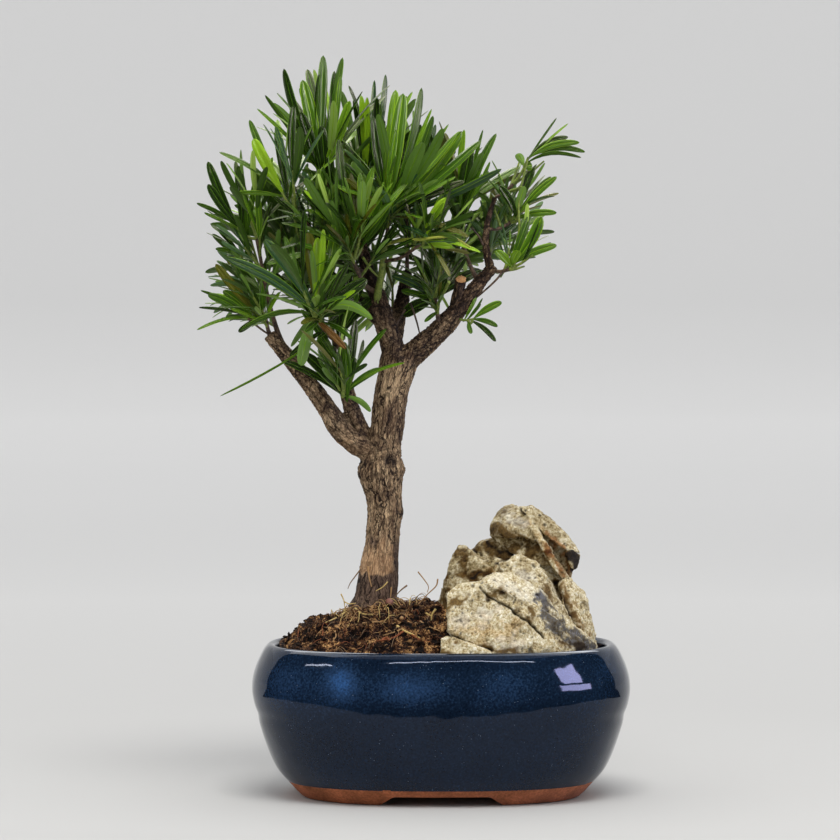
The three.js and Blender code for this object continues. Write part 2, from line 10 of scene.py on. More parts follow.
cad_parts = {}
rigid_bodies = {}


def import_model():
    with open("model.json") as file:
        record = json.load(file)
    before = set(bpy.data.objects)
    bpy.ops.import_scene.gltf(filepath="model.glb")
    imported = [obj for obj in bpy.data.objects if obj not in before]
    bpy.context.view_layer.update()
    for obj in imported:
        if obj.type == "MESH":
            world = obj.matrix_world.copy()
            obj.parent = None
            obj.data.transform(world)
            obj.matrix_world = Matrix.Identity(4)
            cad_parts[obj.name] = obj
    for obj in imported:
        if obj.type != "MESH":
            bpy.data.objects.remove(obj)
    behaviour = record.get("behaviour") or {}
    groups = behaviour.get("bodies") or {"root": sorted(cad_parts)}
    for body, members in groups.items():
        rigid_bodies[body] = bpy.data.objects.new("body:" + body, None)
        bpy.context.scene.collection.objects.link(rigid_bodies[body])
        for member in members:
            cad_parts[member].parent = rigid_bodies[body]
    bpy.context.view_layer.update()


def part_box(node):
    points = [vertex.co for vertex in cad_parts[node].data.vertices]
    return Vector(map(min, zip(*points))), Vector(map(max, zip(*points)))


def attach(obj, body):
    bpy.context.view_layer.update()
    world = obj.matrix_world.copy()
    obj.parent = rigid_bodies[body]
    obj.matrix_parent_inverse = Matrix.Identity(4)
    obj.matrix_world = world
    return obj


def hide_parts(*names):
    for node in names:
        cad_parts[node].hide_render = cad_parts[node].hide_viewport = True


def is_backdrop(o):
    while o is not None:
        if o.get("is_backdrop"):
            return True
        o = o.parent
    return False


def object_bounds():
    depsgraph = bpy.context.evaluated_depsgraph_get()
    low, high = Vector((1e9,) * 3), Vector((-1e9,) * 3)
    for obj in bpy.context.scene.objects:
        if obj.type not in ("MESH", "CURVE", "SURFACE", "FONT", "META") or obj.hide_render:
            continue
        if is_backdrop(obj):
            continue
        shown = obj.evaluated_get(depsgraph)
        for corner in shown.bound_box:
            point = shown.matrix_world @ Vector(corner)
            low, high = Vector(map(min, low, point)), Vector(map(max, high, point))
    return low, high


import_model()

# Studio
# A pale paper floor that rises into a round cove, soft daylight from all sides and one broad lamp overhead.
# The glaze and the leaves mirror two strip lamps, a pale sky behind and a small window at the right.
MM = 0.001
pot_low, pot_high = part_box("pot")
POT_X = (pot_low.x + pot_high.x) / 2
POT_Y = (pot_low.y + pot_high.y) / 2
CENTRE = Vector((POT_X, POT_Y, 0))
CAMERA_PLACE = Vector((POT_X - 11.1 * MM, POT_Y - 1900.8 * MM, 244 * MM))
# In pixels of the picture: how far the camera looks down, its focal length and the picture's side
CAMERA_DROP = 88
CAMERA_FOCAL = 3600
IMAGE_SIDE = 840
SENSOR = 36
# How far the paper reaches before the dark of the room starts, as the glaze mirrors it. The room and the
# cove are in metres.
PAPER_FRONT = 161 * MM
PAPER_SIDE = 330 * MM
ROOM_RADIUS = 2.6
ROOM_HEIGHT = 3.6
COVE_RADIUS = 5
COVE_CURVE = 2.5
COVE_STEPS = 12
PAPER_ROUNDING = 2.6
ROOM_HALF_TURN = 118
AIM_HEIGHT = 0.15


def linear(sheet_colour):
    """An sRGB hex colour such as "35661f" as the linear values that a shader takes."""
    values = [int(sheet_colour[i : i + 2], 16) / 255 for i in (0, 2, 4)]
    return *(v / 12.92 if v <= 0.04045 else ((v + 0.055) / 1.055) ** 2.4 for v in values), 1.0


def feed(node, inputs):
    """Fills inputs of a node, each from a plain value, a socket, or a node that gives its first output."""
    for socket, value in inputs.items():
        if isinstance(value, bpy.types.Node):
            value = value.outputs[0]
        if isinstance(value, bpy.types.NodeSocket):
            node.id_data.links.new(value, node.inputs[socket])
        else:
            node.inputs[socket].default_value = value


def add(tree, kind, inputs=None, stops=(), **settings):
    """Adds a shader node with its settings and inputs and, for a ramp, its stops of position and colour."""
    made = tree.nodes.new("ShaderNode" + kind)
    for name, value in settings.items():
        setattr(made, name, value)
    feed(made, inputs or {})
    for index, (position, colour) in enumerate(stops):
        ramp = made.color_ramp.elements
        stop = ramp[index] if index < 2 else ramp.new(position)
        stop.position = position
        stop.color = linear(colour)
    return made


def finish(name, **sockets):
    """A new material with plain values on its shader: returns the material, its tree and its shader."""
    made = bpy.data.materials.new(name)
    made.use_nodes = True
    shader = made.node_tree.nodes["Principled BSDF"]
    feed(shader, {socket.replace("_", " "): value for socket, value in sockets.items()})
    return made, made.node_tree, shader


def only(piece):
    """Makes a piece the active one and the only one that is selected."""
    bpy.ops.object.select_all(action="DESELECT")
    piece.select_set(True)
    bpy.context.view_layer.objects.active = piece


camera_data = bpy.data.cameras.new("camera")
camera_data.sensor_width = SENSOR
camera_data.lens = SENSOR * CAMERA_FOCAL / IMAGE_SIDE
camera = bpy.data.objects.new("camera", camera_data)
camera.location = CAMERA_PLACE
camera.rotation_euler = (math.pi / 2 - math.atan(CAMERA_DROP / CAMERA_FOCAL), 0, 0)
bpy.context.scene.collection.objects.link(camera)
bpy.context.scene.camera = camera
bpy.context.scene.view_settings.view_transform = "Standard"

# Paper: matt background card with painted shade that makes it a little darker round the pot, where the soft
# light reaches it less, and painted light that rises and falls a little further out.
paper, tree, shader = finish("seamless_paper", Roughness=0.9, Specular_IOR_Level=0.1)
place = add(tree, "TexCoord").outputs["Object"]
flat = add(tree, "Mapping", {"Vector": place, "Scale": (0.125, 0.125, 0)})
away = add(tree, "VectorMath", {0: flat}, operation="LENGTH").outputs["Value"]
painted_light_wash = add(tree, "ValToRGB", {"Fac": away}, (
    (0.02, "c5c5c5"), (1.0, "efefef"), (0.06, "c9c9c9"), (0.175, "e0e0e0"), (0.41, "ebebeb"),
    (0.69, "f3f3f3"), (0.775, "e7e7e7"),
))
feed(shader, {"Base Color": painted_light_wash})
bpy.ops.mesh.primitive_circle_add(vertices=96, radius=COVE_RADIUS, fill_type="NGON", location=CENTRE)
cove = bpy.context.object
cove.name = "cove"
bpy.ops.object.mode_set(mode="EDIT")
last_reach, last_rise = COVE_RADIUS, 0
for step in range(1, COVE_STEPS + 1):
    bend = math.radians(90 * step / COVE_STEPS)
    reach = COVE_RADIUS + COVE_CURVE * math.sin(bend)
    rise = COVE_CURVE * (1 - math.cos(bend))
    wider = reach / last_reach
    bpy.ops.mesh.extrude_edges_move(TRANSFORM_OT_translate={"value": (0, 0, rise - last_rise)})
    bpy.ops.transform.resize(value=(wider, wider, 1), center_override=(POT_X, POT_Y, rise))
    last_reach, last_rise = reach, rise
bpy.ops.object.mode_set(mode="OBJECT")
bpy.ops.object.shade_smooth()
cove.data.materials.append(paper)
cove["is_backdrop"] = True

# The dark room in front and at both sides is seen only by the glaze, which mirrors the paper's edge and
# the dark beyond it. It starts just outside the camera's view.
dark, tree, shader = finish("dark_room", Base_Color=linear("20211f"), Roughness=1.0, Specular_IOR_Level=0)
bpy.ops.mesh.primitive_grid_add(x_subdivisions=48, y_subdivisions=2, size=2, location=(0, 0, 0))
room = bpy.context.object
room.name = "dark_room"
for corner in room.data.vertices:
    turn = corner.co.x * math.radians(ROOM_HALF_TURN)
    away = Vector((math.sin(turn), -math.cos(turn), 0))
    spans = ((abs(away.x), PAPER_SIDE), (max(-away.y, 0.0), PAPER_FRONT))
    edge = 1 / sum((part / span) ** PAPER_ROUNDING for part, span in spans) ** (1 / PAPER_ROUNDING)
    stage = round(corner.co.y)
    reach = edge if stage < 0 else ROOM_RADIUS
    corner.co = CENTRE + away * reach + Vector((0, 0, ROOM_HEIGHT if stage > 0 else 1 * MM))
room.data.materials.append(dark)
for ray in ("camera", "diffuse", "transmission", "shadow"):
    setattr(room, "visible_" + ray, False)
room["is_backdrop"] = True

world = bpy.data.worlds.new("daylight")
bpy.context.scene.world = world
world.use_nodes = True
feed(world.node_tree.nodes["Background"], {"Color": linear("ececec"), "Strength": 0.95})

# Each lamp: name, place in metres from the pot, width and height, roll in degrees, watts, colour, and whether
# it lights what is matt. The others are only mirrored.
lamps = (
    ("lamp_overhead", (0.1, -0.75, 1.65), (0.9, 0.7), 0, 19, "fffdf8", True),
    ("lamp_strip_left", (-1.5, -0.7, 1.22), (0.75, 0.03), 13, 1.9, "ffffff", False),
    ("lamp_strip_right", (0.16, -0.75, 0.86), (0.9, 0.028), 0, 1.9, "ffffff", False),
    ("lamp_sky", (-0.1, 0.45, 1.75), (2.8, 1.7), 0, 42, "fffdf2", False),
    ("lamp_behind", (0.1, 1.25, 1.45), (2.2, 0.6), 0, 21, "ffffff", False),
    ("lamp_window", (1.21, -0.62, 0.7), (0.42, 0.44), 0, 12, "d3ccf2", False),
    ("lamp_window_sill", (1.33, -0.62, 0.3), (0.7, 0.23), 0, 9, "d3ccf2", False),
)
for name, place, size, roll, watts, colour, lights_all in lamps:
    lamp_data = bpy.data.lights.new(name, "AREA")
    lamp_data.shape = "RECTANGLE"
    lamp_data.size, lamp_data.size_y = size
    lamp_data.energy = watts
    lamp_data.color = linear(colour)[:3]
    lamp = bpy.data.objects.new(name, lamp_data)
    lamp.location = Vector(place) + CENTRE
    aim = CENTRE + Vector((0, 0, AIM_HEIGHT)) - lamp.location
    turn = aim.to_track_quat("-Z", "Y") @ Quaternion((0, 0, 1), math.radians(roll))
    lamp.rotation_euler = turn.to_euler()
    lamp.visible_diffuse = lights_all
    lamp.visible_glossy = not lights_all
    bpy.context.scene.collection.objects.link(lamp)

# Pot
# An oval stoneware pot, pressed in a mould and dipped in cobalt glaze down to its foot, which is left bare
# so that it doesn't stick to the kiln shelf. An arch is cut through the foot and the floor has two drains.
POT_WIDTH = pot_high.x - pot_low.x
POT_DEPTH = pot_high.y - pot_low.y
OVAL_POWER = 2.5
DEPTH_SHARE = 0.85
GLAZE_LINE = 8.5
POT_SIDES = 64
# The groove that the mould left round each end: its height, depth and half width, and where it runs out
GROOVE_HEIGHT = 43.5
GROOVE_DEPTH = 0.65
GROOVE_WIDTH = 2.8
GROOVE_START = 55
GROOVE_RUN = 30
# The arch through the foot, with its half width at the mouth and at the top, and the drains
ARCH_MOUTH = 33.4
ARCH_TOP = 25
ARCH_HEIGHT = 4
DRAIN_PLACE = 38
DRAIN_RADIUS = 6
# Height and inset from the widest ring, in mm: recess under the pot, foot, body, lip and inner wall.
pot_profile = (
    (5.6, 42), (0.5, 40.6), (0, 39.6), (0, 27), (0.6, 26), (3, 23.4), (8.2, 18.9), (8.6, 18.3),
    (14, 13.2), (22, 9.3), (34, 5.2), (43, 2.6), (49, 1.1), (54, 0.1), (58, 0), (62, 0.4), (65, 1.1),
    (69, 2.4), (73, 4.2), (76, 5.7), (78.4, 7.3), (79.6, 8.8), (80, 10.2), (79.7, 11.8), (78.6, 13),
    (76, 13.6), (70, 9.6), (49, 8.2), (24, 15.6), (12.5, 23.7),
)


def oval_point(angle, inset):
    """A point of the pot's oval in metres from its centre, inset by a number of mm at its ends."""
    across, along = math.cos(angle), math.sin(angle)
    x = math.copysign(abs(across) ** (2 / OVAL_POWER), across) * (POT_WIDTH / 2 - inset * MM)
    y = math.copysign(abs(along) ** (2 / OVAL_POWER), along) * (POT_DEPTH / 2 - inset * MM * DEPTH_SHARE)
    return x, y


def edit_all():
    """Opens the active piece in edit mode with everything selected."""
    bpy.ops.object.mode_set(mode="EDIT")
    bpy.ops.mesh.select_all(action="SELECT")


bpy.ops.mesh.primitive_circle_add(vertices=POT_SIDES, radius=1, fill_type="NGON", location=(0, 0, 0))
pot = bpy.context.object
pot.name = "glazed_pot"
height, inset = pot_profile[0]
for index, corner in enumerate(pot.data.vertices):
    x, y = oval_point(2 * math.pi * (index + 0.5) / POT_SIDES, inset)
    corner.co = (POT_X + x, POT_Y + y, height * MM)
edit_all()
for next_height, next_inset in pot_profile[1:]:
    rise = (next_height - height) * MM
    bpy.ops.mesh.extrude_region_move(TRANSFORM_OT_translate={"value": (0, 0, rise)})
    wider, deeper = (
        (span / 2 - next_inset * MM * share) / (span / 2 - inset * MM * share)
        for span, share in ((POT_WIDTH, 1), (POT_DEPTH, DEPTH_SHARE))
    )
    bpy.ops.transform.resize(value=(wider, deeper, 1), center_override=(POT_X, POT_Y, next_height * MM))
    height, inset = next_height, next_inset
bpy.ops.mesh.inset(thickness=10 * MM)
bpy.ops.mesh.select_all(action="SELECT")
bpy.ops.mesh.normals_make_consistent(inside=False)
bpy.ops.object.mode_set(mode="OBJECT")
rounding = pot.modifiers.new("rounding", "SUBSURF")
rounding.levels = rounding.render_levels = 2
bpy.ops.object.modifier_apply(modifier=rounding.name)

# The mould left a shallow groove round each end, where its halves met.
for corner in pot.data.vertices:
    x, _, z = (corner.co - CENTRE) / MM
    end = max(0.0, min((abs(x) - GROOVE_START) / GROOVE_RUN, 1.0))
    groove = GROOVE_DEPTH * end * math.exp(-(((z - GROOVE_HEIGHT) / GROOVE_WIDTH) ** 2))
    corner.co.x -= math.copysign(groove * MM, x)

# The arch runs right through the foot from front to back and is wider at its mouth.
bpy.ops.mesh.primitive_cube_add(size=1, location=(POT_X, POT_Y, 1 * MM))
arch = bpy.context.object
for corner in arch.data.vertices:
    high = corner.co.z > 0
    corner.co.x *= 2 * (ARCH_TOP if high else ARCH_MOUTH) * MM
    corner.co.y *= POT_DEPTH * 1.2
    corner.co.z = (ARCH_HEIGHT if high else -2) * MM
edit_all()
bpy.ops.mesh.bevel(offset=1.2 * MM, segments=3)
bpy.ops.object.mode_set(mode="OBJECT")
cutters = [arch]
for side in (-1, 1):
    bpy.ops.mesh.primitive_cylinder_add(
        vertices=40, radius=DRAIN_RADIUS * MM, depth=20 * MM,
        location=(POT_X + side * DRAIN_PLACE * MM, POT_Y, 9 * MM),
    )
    cutters.append(bpy.context.object)
only(pot)
for cutter in cutters:
    cut = pot.modifiers.new("cut", "BOOLEAN")
    cut.operation = "DIFFERENCE"
    cut.object = cutter
    bpy.ops.object.modifier_apply(modifier=cut.name)
    bpy.data.objects.remove(cutter)
bpy.ops.object.shade_smooth_by_angle(angle=math.radians(38))

# Cobalt glaze on stoneware: a thick, hard glass that is near black where it is thin and pools to a soft
# blue, with a fine grain and pale specks from the body under it. Its skin waves a little.
glaze, tree, shader = finish("cobalt_glaze", Roughness=0.06, IOR=1.39, Specular_Tint=linear("dde7ff"))
place = add(tree, "TexCoord").outputs["Object"]
pool = add(tree, "Attribute", attribute_name="pool").outputs["Fac"]
mottle = add(tree, "TexNoise", {"Vector": place, "Scale": 1 / (1.1 * MM), "Detail": 4.0})
grainy = add(tree, "Math", {0: mottle, 1: 0.7, 2: -0.35}, operation="MULTIPLY_ADD")
pooled = add(tree, "Math", {0: grainy, 1: pool}, operation="ADD")
body = add(tree, "ValToRGB", {"Fac": pooled}, (
    (0.0, "060f1d"), (1.0, "4474b3"), (0.25, "111f32"), (0.5, "233a5a"), (0.75, "2f5487"),
))
dots = add(tree, "TexVoronoi", {"Vector": place, "Scale": 1 / (1.7 * MM)})
rare = add(tree, "TexNoise", {"Vector": place, "Scale": 1 / (5 * MM), "Detail": 1.0})
speck_size = {"Value": rare, "From Min": 0.44, "From Max": 0.74, "To Min": 0.02, "To Max": 0.12}
speck = add(tree, "Math", {0: dots, 1: add(tree, "MapRange", speck_size)}, operation="LESS_THAN")
speckled = add(tree, "MixRGB", {"Fac": speck, "Color1": body, "Color2": linear("707d91")})
waves = add(tree, "TexNoise", {"Vector": place, "Scale": 1 / (15 * MM), "Detail": 1.5})
skin = add(tree, "Bump", {"Strength": 0.6, "Distance": 0.5 * MM, "Height": waves})
feed(shader, {"Base Color": speckled, "Normal": skin})

# Pools of blue on the front of the upper band: across, up, half width and half height in mm, and strength
pools = (
    (-51, 65, 8, 9, 0.42), (-20, 62, 13, 8, 0.3), (0, 62, 12, 8, 0.1), (33, 64, 14, 10, 0.13),
    (-77, 63, 12, 11, 0.13),
)
# The glaze is bluer above the groove and darker again on the rim, from these heights in mm.
BLUE_FOOT = 44
RIM_FOOT = 69
pool_values = []
for corner in pot.data.vertices:
    place = (corner.co - CENTRE) / MM
    value = 0.14 + 0.1 * max(0.0, min((place.z - BLUE_FOOT) / 14, 1.0))
    value += 0.1 * noise.noise(place / 21) - 0.06 * max(0.0, min((place.z - RIM_FOOT) / 5, 1.0))
    if place.y < 0:
        for x, z, half_width, half_height, strength in pools:
            across, up = (place.x - x) / half_width, (place.z - z) / half_height
            value += strength * math.exp(-(across**2) - up**2)
    else:
        value += 0.25 * max(0.0, noise.noise(place / 17 + Vector((3, 8, 1)))) * (place.z > 48)
    pool_values.append(value)
pot.data.attributes.new("pool", "FLOAT", "POINT").data.foreach_set("value", pool_values)

# Unglazed terracotta foot: fired iron-rich clay, matt and gritty, darker where the glaze soaked in.
terracotta, tree, shader = finish("unglazed_terracotta", Roughness=0.88, IOR=1.45)
place = add(tree, "TexCoord").outputs["Object"]
grit = add(tree, "TexNoise", {"Vector": place, "Scale": 1 / (1.2 * MM), "Detail": 4.0})
stain = add(tree, "TexNoise", {"Vector": place, "Scale": 1 / (14 * MM), "Detail": 2.0})
tone = add(tree, "Math", {0: grit, 1: stain}, operation="MULTIPLY")
clay = add(tree, "ValToRGB", {"Fac": tone}, ((0.12, "74401f"), (0.4, "b86b45")))
rough = add(tree, "Bump", {"Strength": 0.5, "Distance": 0.2 * MM, "Height": grit})
feed(shader, {"Base Color": clay, "Normal": rough})

pot.data.materials.clear()
pot.data.materials.append(glaze)
pot.data.materials.append(terracotta)
for face in pot.data.polygons:
    wobble = 0.35 * noise.noise(face.center * 90)
    face.material_index = int(face.center.z < (GLAZE_LINE + wobble) * MM)
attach(pot, "root")
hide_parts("pot")

# Soil
# Fibrous dark peat heaped round the trunk and levelled off at the rock. It was firmed by hand, so its skin is
# broken into crumbs, and it is full of fine tan roots from an older, bigger root ball.
# Sizes and heights in mm
SOIL_INSET = 14.1
SOIL_RIM = 76
MOUND_SLOPE = 26
STEEP_SLOPE = 13
SOIL_FLOOR = 13
SOIL_SKIRT = 30
SOIL_WAIST = 45
SOIL_GRID = 290
TRUNK_X = -34


def smooth(low, high, value):
    """A share from 0 to 1 that eases in and out while a value goes from low to high."""
    share = min(max((value - low) / (high - low), 0), 1)
    return share * share * (3 - 2 * share)


def mix(a, b, share):
    """What lies between a and b at a share of the way."""
    return a + (b - a) * share


def soil_height(x, y, inwards):
    """Height of the soil in mm at a place in mm from the pot's centre, a number of mm in from its edge."""
    level = mix(16, 4, smooth(4, 34, x))
    heap = 12 * math.exp(-(((x - TRUNK_X) / (17 if x < TRUNK_X else 26)) ** 2 + (y / 24) ** 2))
    heap += 8 * math.exp(-(((x + 3) / 11) ** 2 + ((y + 2) / 14) ** 2))
    lumps = 1.1 * math.sin(x * 0.31 + y * 0.17) * math.cos(y * 0.29 - x * 0.11)
    slope = mix(MOUND_SLOPE, STEEP_SLOPE, smooth(-40, -66, x))
    edge = 5 * smooth(-50, -78, x)
    return SOIL_RIM + edge + smooth(0, slope, inwards) * (level + heap + lumps - edge)


# Without a seed the vector noise starts from the clock.
noise.seed_set(2)


def rough_noise(place, size, octaves):
    """Fractal noise of about -1 to 1 whose largest lumps have a size in mm."""
    return noise.fractal(place / size, 0.9, 2.1, octaves)


bpy.ops.mesh.primitive_grid_add(
    x_subdivisions=SOIL_GRID, y_subdivisions=SOIL_GRID, size=2, location=(0, 0, 0)
)
soil = bpy.context.object
soil.name = "peat"
for corner in soil.data.vertices:
    across, along = corner.co.x, corner.co.y
    ring = max(abs(across), abs(along))
    if abs(across) >= abs(along):
        angle = math.pi / 4 * along / (across or 1) + (math.pi if across < 0 else 0)
    else:
        angle = math.pi / 2 - math.pi / 4 * across / along + (math.pi if along < 0 else 0)
    inwards = (1 - ring) * (POT_DEPTH / MM / 2 - SOIL_INSET)
    x, y = oval_point(angle, SOIL_INSET + 0.4)
    x, y = x * ring / MM, y * ring / MM
    place = Vector((x, y, 0))
    clods = 2.6 * rough_noise(place, 8, 4) + 2.3 * abs(rough_noise(place + Vector((50, 0, 0)), 3.2, 4)) - 1.4
    height = soil_height(x, y, inwards) + (0.35 + 0.65 * smooth(0, 7, inwards)) * clods
    shift = noise.noise_vector(place / 3) * 0.9 * smooth(0, 4, inwards)
    corner.co = CENTRE + Vector((x + shift.x, y + shift.y, height)) * MM
edit_all()
bpy.ops.mesh.region_to_loop()
bpy.ops.mesh.extrude_edges_move(TRANSFORM_OT_translate={"value": (0, 0, -SOIL_SKIRT * MM)})
bpy.ops.transform.resize(value=(0.97, 0.97, 0), center_override=(POT_X, POT_Y, SOIL_WAIST * MM))
bpy.ops.mesh.extrude_edges_move(TRANSFORM_OT_translate={"value": (0, 0, (SOIL_FLOOR - SOIL_WAIST) * MM)})
bpy.ops.transform.resize(value=(0.86, 0.86, 1), center_override=(POT_X, POT_Y, SOIL_FLOOR * MM))
bpy.ops.mesh.edge_face_add()
bpy.ops.mesh.select_all(action="SELECT")
bpy.ops.mesh.normals_make_consistent(inside=False)
bpy.ops.object.mode_set(mode="OBJECT")
bpy.ops.object.shade_smooth()

# Peat: rotted moss fibre, soft and quite matt, rust brown where it has dried and near black in its cracks,
# where the low places of its fibre are painted dark as shade.
peat, tree, shader = finish("fibrous_peat", Roughness=0.95, Specular_IOR_Level=0.15)
place = add(tree, "TexCoord").outputs["Object"]
strands = {"Vector": place, "Scale": 1 / (1.1 * MM), "Detail": 5.0, "Distortion": 1.4}
fibre = add(tree, "TexNoise", strands)
clod = add(tree, "TexNoise", {"Vector": place, "Scale": 1 / (6 * MM), "Detail": 3.0})
dryness_and_crack_shade = add(tree, "Math", {0: fibre, 1: clod}, operation="MULTIPLY")
brown = add(tree, "ValToRGB", {"Fac": dryness_and_crack_shade}, (
    (0.195, "050201"), (0.39, "c79c66"), (0.255, "1f1009"), (0.31, "5f3d27"),
))
crumble = add(tree, "Bump", {"Strength": 1.0, "Distance": 0.7 * MM, "Height": fibre})
feed(shader, {"Base Color": brown, "Normal": crumble})
soil.data.materials.append(peat)
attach(soil, "root")
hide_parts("soil")


def new_piece(name, corners, faces, materials, slots=None):
    """A mesh object from lists of corners and faces, with a material number for each face."""
    data = bpy.data.meshes.new(name)
    data.from_pydata(corners, [], faces)
    for material in materials:
        data.materials.append(material)
    if slots is not None:
        data.polygons.foreach_set("material_index", slots)
    piece = bpy.data.objects.new(name, data)
    bpy.context.scene.collection.objects.link(piece)
    return piece


ABOVE_ALL = 0.2
ground = BVHTree.FromPolygons(
    [corner.co.copy() for corner in soil.data.vertices], [tuple(face.vertices) for face in soil.data.polygons]
)


def seen_at(x, z):
    """Where the line from the camera through a point of the pot's middle plane, in mm, meets the soil."""
    aim = (CENTRE + Vector((x, 0, z)) * MM - CAMERA_PLACE).normalized()
    return ground.ray_cast(CAMERA_PLACE, aim)[0]


def soil_below(x, y):
    """The point of the soil's surface at a place in metres from the pot's centre, or None outside it."""
    return ground.ray_cast(CENTRE + Vector((x, y, ABOVE_ALL)), Vector((0, 0, -1)))[0]


def at_depth(x, z, y):
    """The point at a depth of y mm on the line from the camera through (x, z) of the pot's middle plane."""
    aim = CENTRE + Vector((x, 0, z)) * MM - CAMERA_PLACE
    return CAMERA_PLACE + aim * ((POT_Y + y * MM - CAMERA_PLACE.y) / aim.y)


# Crumbs of peat lie loose all over the mound.
rough = random.Random(11)
bpy.ops.mesh.primitive_ico_sphere_add(subdivisions=1, radius=1, location=(0, 0, 0))
grain = bpy.context.object
grain_corners = np.array([v.co for v in grain.data.vertices])
grain_faces = np.array([f.vertices for f in grain.data.polygons])
bpy.data.objects.remove(grain)
CRUMBS = 4600
# Sizes of the fine and the coarse crumbs in mm, and the share of them that is fine
FINE = (0.25, 0.65)
COARSE = (0.65, 1.5)
FINE_SHARE = 0.85
crumb_corners, crumb_faces, crumb_tones = [], [], []
for number in range(CRUMBS):
    angle = rough.random() * 2 * math.pi
    ring = math.sqrt(rough.random()) * 0.985
    x, y = (part * ring for part in oval_point(angle, SOIL_INSET + 1))
    top = soil_below(x, y)
    size = rough.uniform(*(FINE if rough.random() < FINE_SHARE else COARSE))
    turn = np.array(Quaternion([rough.gauss(0, 1) for _ in range(4)]).normalized().to_matrix())
    shape = np.diag([size * rough.uniform(0.7, 2.4), size * rough.uniform(0.5, 1.0), size * 0.6])
    lumpy = grain_corners * (1 + 0.4 * np.array([rough.uniform(-1, 1) for _ in grain_corners]))[:, None]
    crumb_faces.append(grain_faces + len(grain_corners) * number)
    crumb_corners.append((lumpy @ shape @ turn.T) * MM + np.array(top) + (0, 0, size * 0.2 * MM))
    crumb_tones += [rough.choice((0, 0, 0, 1, 1, 2))] * len(grain_faces)


def gritty(name, colour, grain, detail, strength, depth, **sockets):
    """A finish of one colour whose skin is roughened by bumps, with the size and depth of the bumps in mm."""
    look, tree, shader = finish(name, Base_Color=linear(colour), **sockets)
    place = add(tree, "TexCoord").outputs["Object"]
    grit = add(tree, "TexNoise", {"Vector": place, "Scale": 1 / (grain * MM), "Detail": detail})
    bumps = add(tree, "Bump", {"Strength": strength, "Distance": depth * MM, "Height": grit})
    feed(shader, {"Normal": bumps})
    return look


# Crumbs: the same peat, matt and porous, near black where it is damp and tan where it has dried.
crumb_looks = [
    gritty(name, colour, 0.5, 2.0, 1.0, 0.3, Roughness=0.95, Specular_IOR_Level=0.15)
    for name, colour in (
        ("peat_crumb_dark", "1c110a"), ("peat_crumb_brown", "4f3420"), ("peat_crumb_dry", "86643f"),
    )
]
crumb_mesh = [np.concatenate(part).tolist() for part in (crumb_corners, crumb_faces)]
crumbs = new_piece("peat_crumbs", *crumb_mesh, crumb_looks, crumb_tones)
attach(crumbs, "root")

# Roots
# Fine feeding roots of the tree and threads of moss, a few tenths of a millimetre thick, tan to yellow and
# rust red. They poke out of the peat, lie along it and make a tangle at the foot of the trunk.


def curve_point(points, share):
    """A point of the centripetal Catmull-Rom curve through points, at a share of its whole run."""
    last = len(points) - 1
    index = min(int(last * share), last - 1)
    weight = last * share - index
    start, stop = points[index], points[index + 1]
    before = points[index - 1] if index else start * 2 - stop
    after = points[index + 2] if index + 2 <= last else stop * 2 - start
    gaps = [(b - a).length_squared ** 0.25 for a, b in ((before, start), (start, stop), (stop, after))]
    leave = (start - before) / gaps[0] - (stop - before) / (gaps[0] + gaps[1]) + (stop - start) / gaps[1]
    arrive = (stop - start) / gaps[1] - (after - start) / (gaps[1] + gaps[2]) + (after - stop) / gaps[2]
    leave, arrive = leave * gaps[1], arrive * gaps[1]
    square = (stop - start) * 3 - leave * 2 - arrive
    cube = (start - stop) * 2 + leave + arrive
    return start + leave * weight + square * weight**2 + cube * weight**3


def heading(points, share):
    """The direction of that curve, as a unit vector."""
    low, high = max(share - 0.0001, 0), min(share + 0.0001, 1)
    return (curve_point(points, high) - curve_point(points, low)).normalized()


def square_to(forward):
    """Two unit vectors square to a direction and to each other."""
    guide = Vector((1, 0, 0)) if abs(forward.z) > 0.9 else Vector((0, 0, 1))
    side = guide.cross(forward).normalized()
    return side, forward.cross(side)


def add_tube(corners, faces, route, radii, sides):
    """Adds a closed tube along a route of points, with a radius at each, to lists of corners and faces."""
    first = len(corners)
    forward = (route[1] - route[0]).normalized()
    side, up = square_to(forward)
    for index, (point, radius) in enumerate(zip(route, radii)):
        ahead = (route[min(index + 1, len(route) - 1)] - route[max(index - 1, 0)]).normalized()
        side = (side - ahead * side.dot(ahead)).normalized()
        up = ahead.cross(side)
        for step in range(sides):
            turn = 2 * math.pi * step / sides
            corners.append(point + (side * math.cos(turn) + up * math.sin(turn)) * radius)
    for ring in range(len(route) - 1):
        for step in range(sides):
            a = first + ring * sides + step
            b = first + ring * sides + (step + 1) % sides
            faces.append((a, b, b + sides, a + sides))
    faces.append([first + step for step in reversed(range(sides))])
    faces.append([first + (len(route) - 1) * sides + step for step in range(sides)])


# Root skin: thin bark and bare wood fibre, dull and slightly ribbed, each in one of five tones.
root_looks = [
    gritty(name, colour, 0.8, 2.0, 0.6, 0.1, Roughness=0.75, Specular_IOR_Level=0.3)
    for name, colour in (
        ("root_tan", "a9855a"), ("root_yellow", "c9ad6c"), ("root_rust", "8a4d2c"), ("root_grey", "7a6248"),
        ("root_brown", "4c301c"),
    )
]

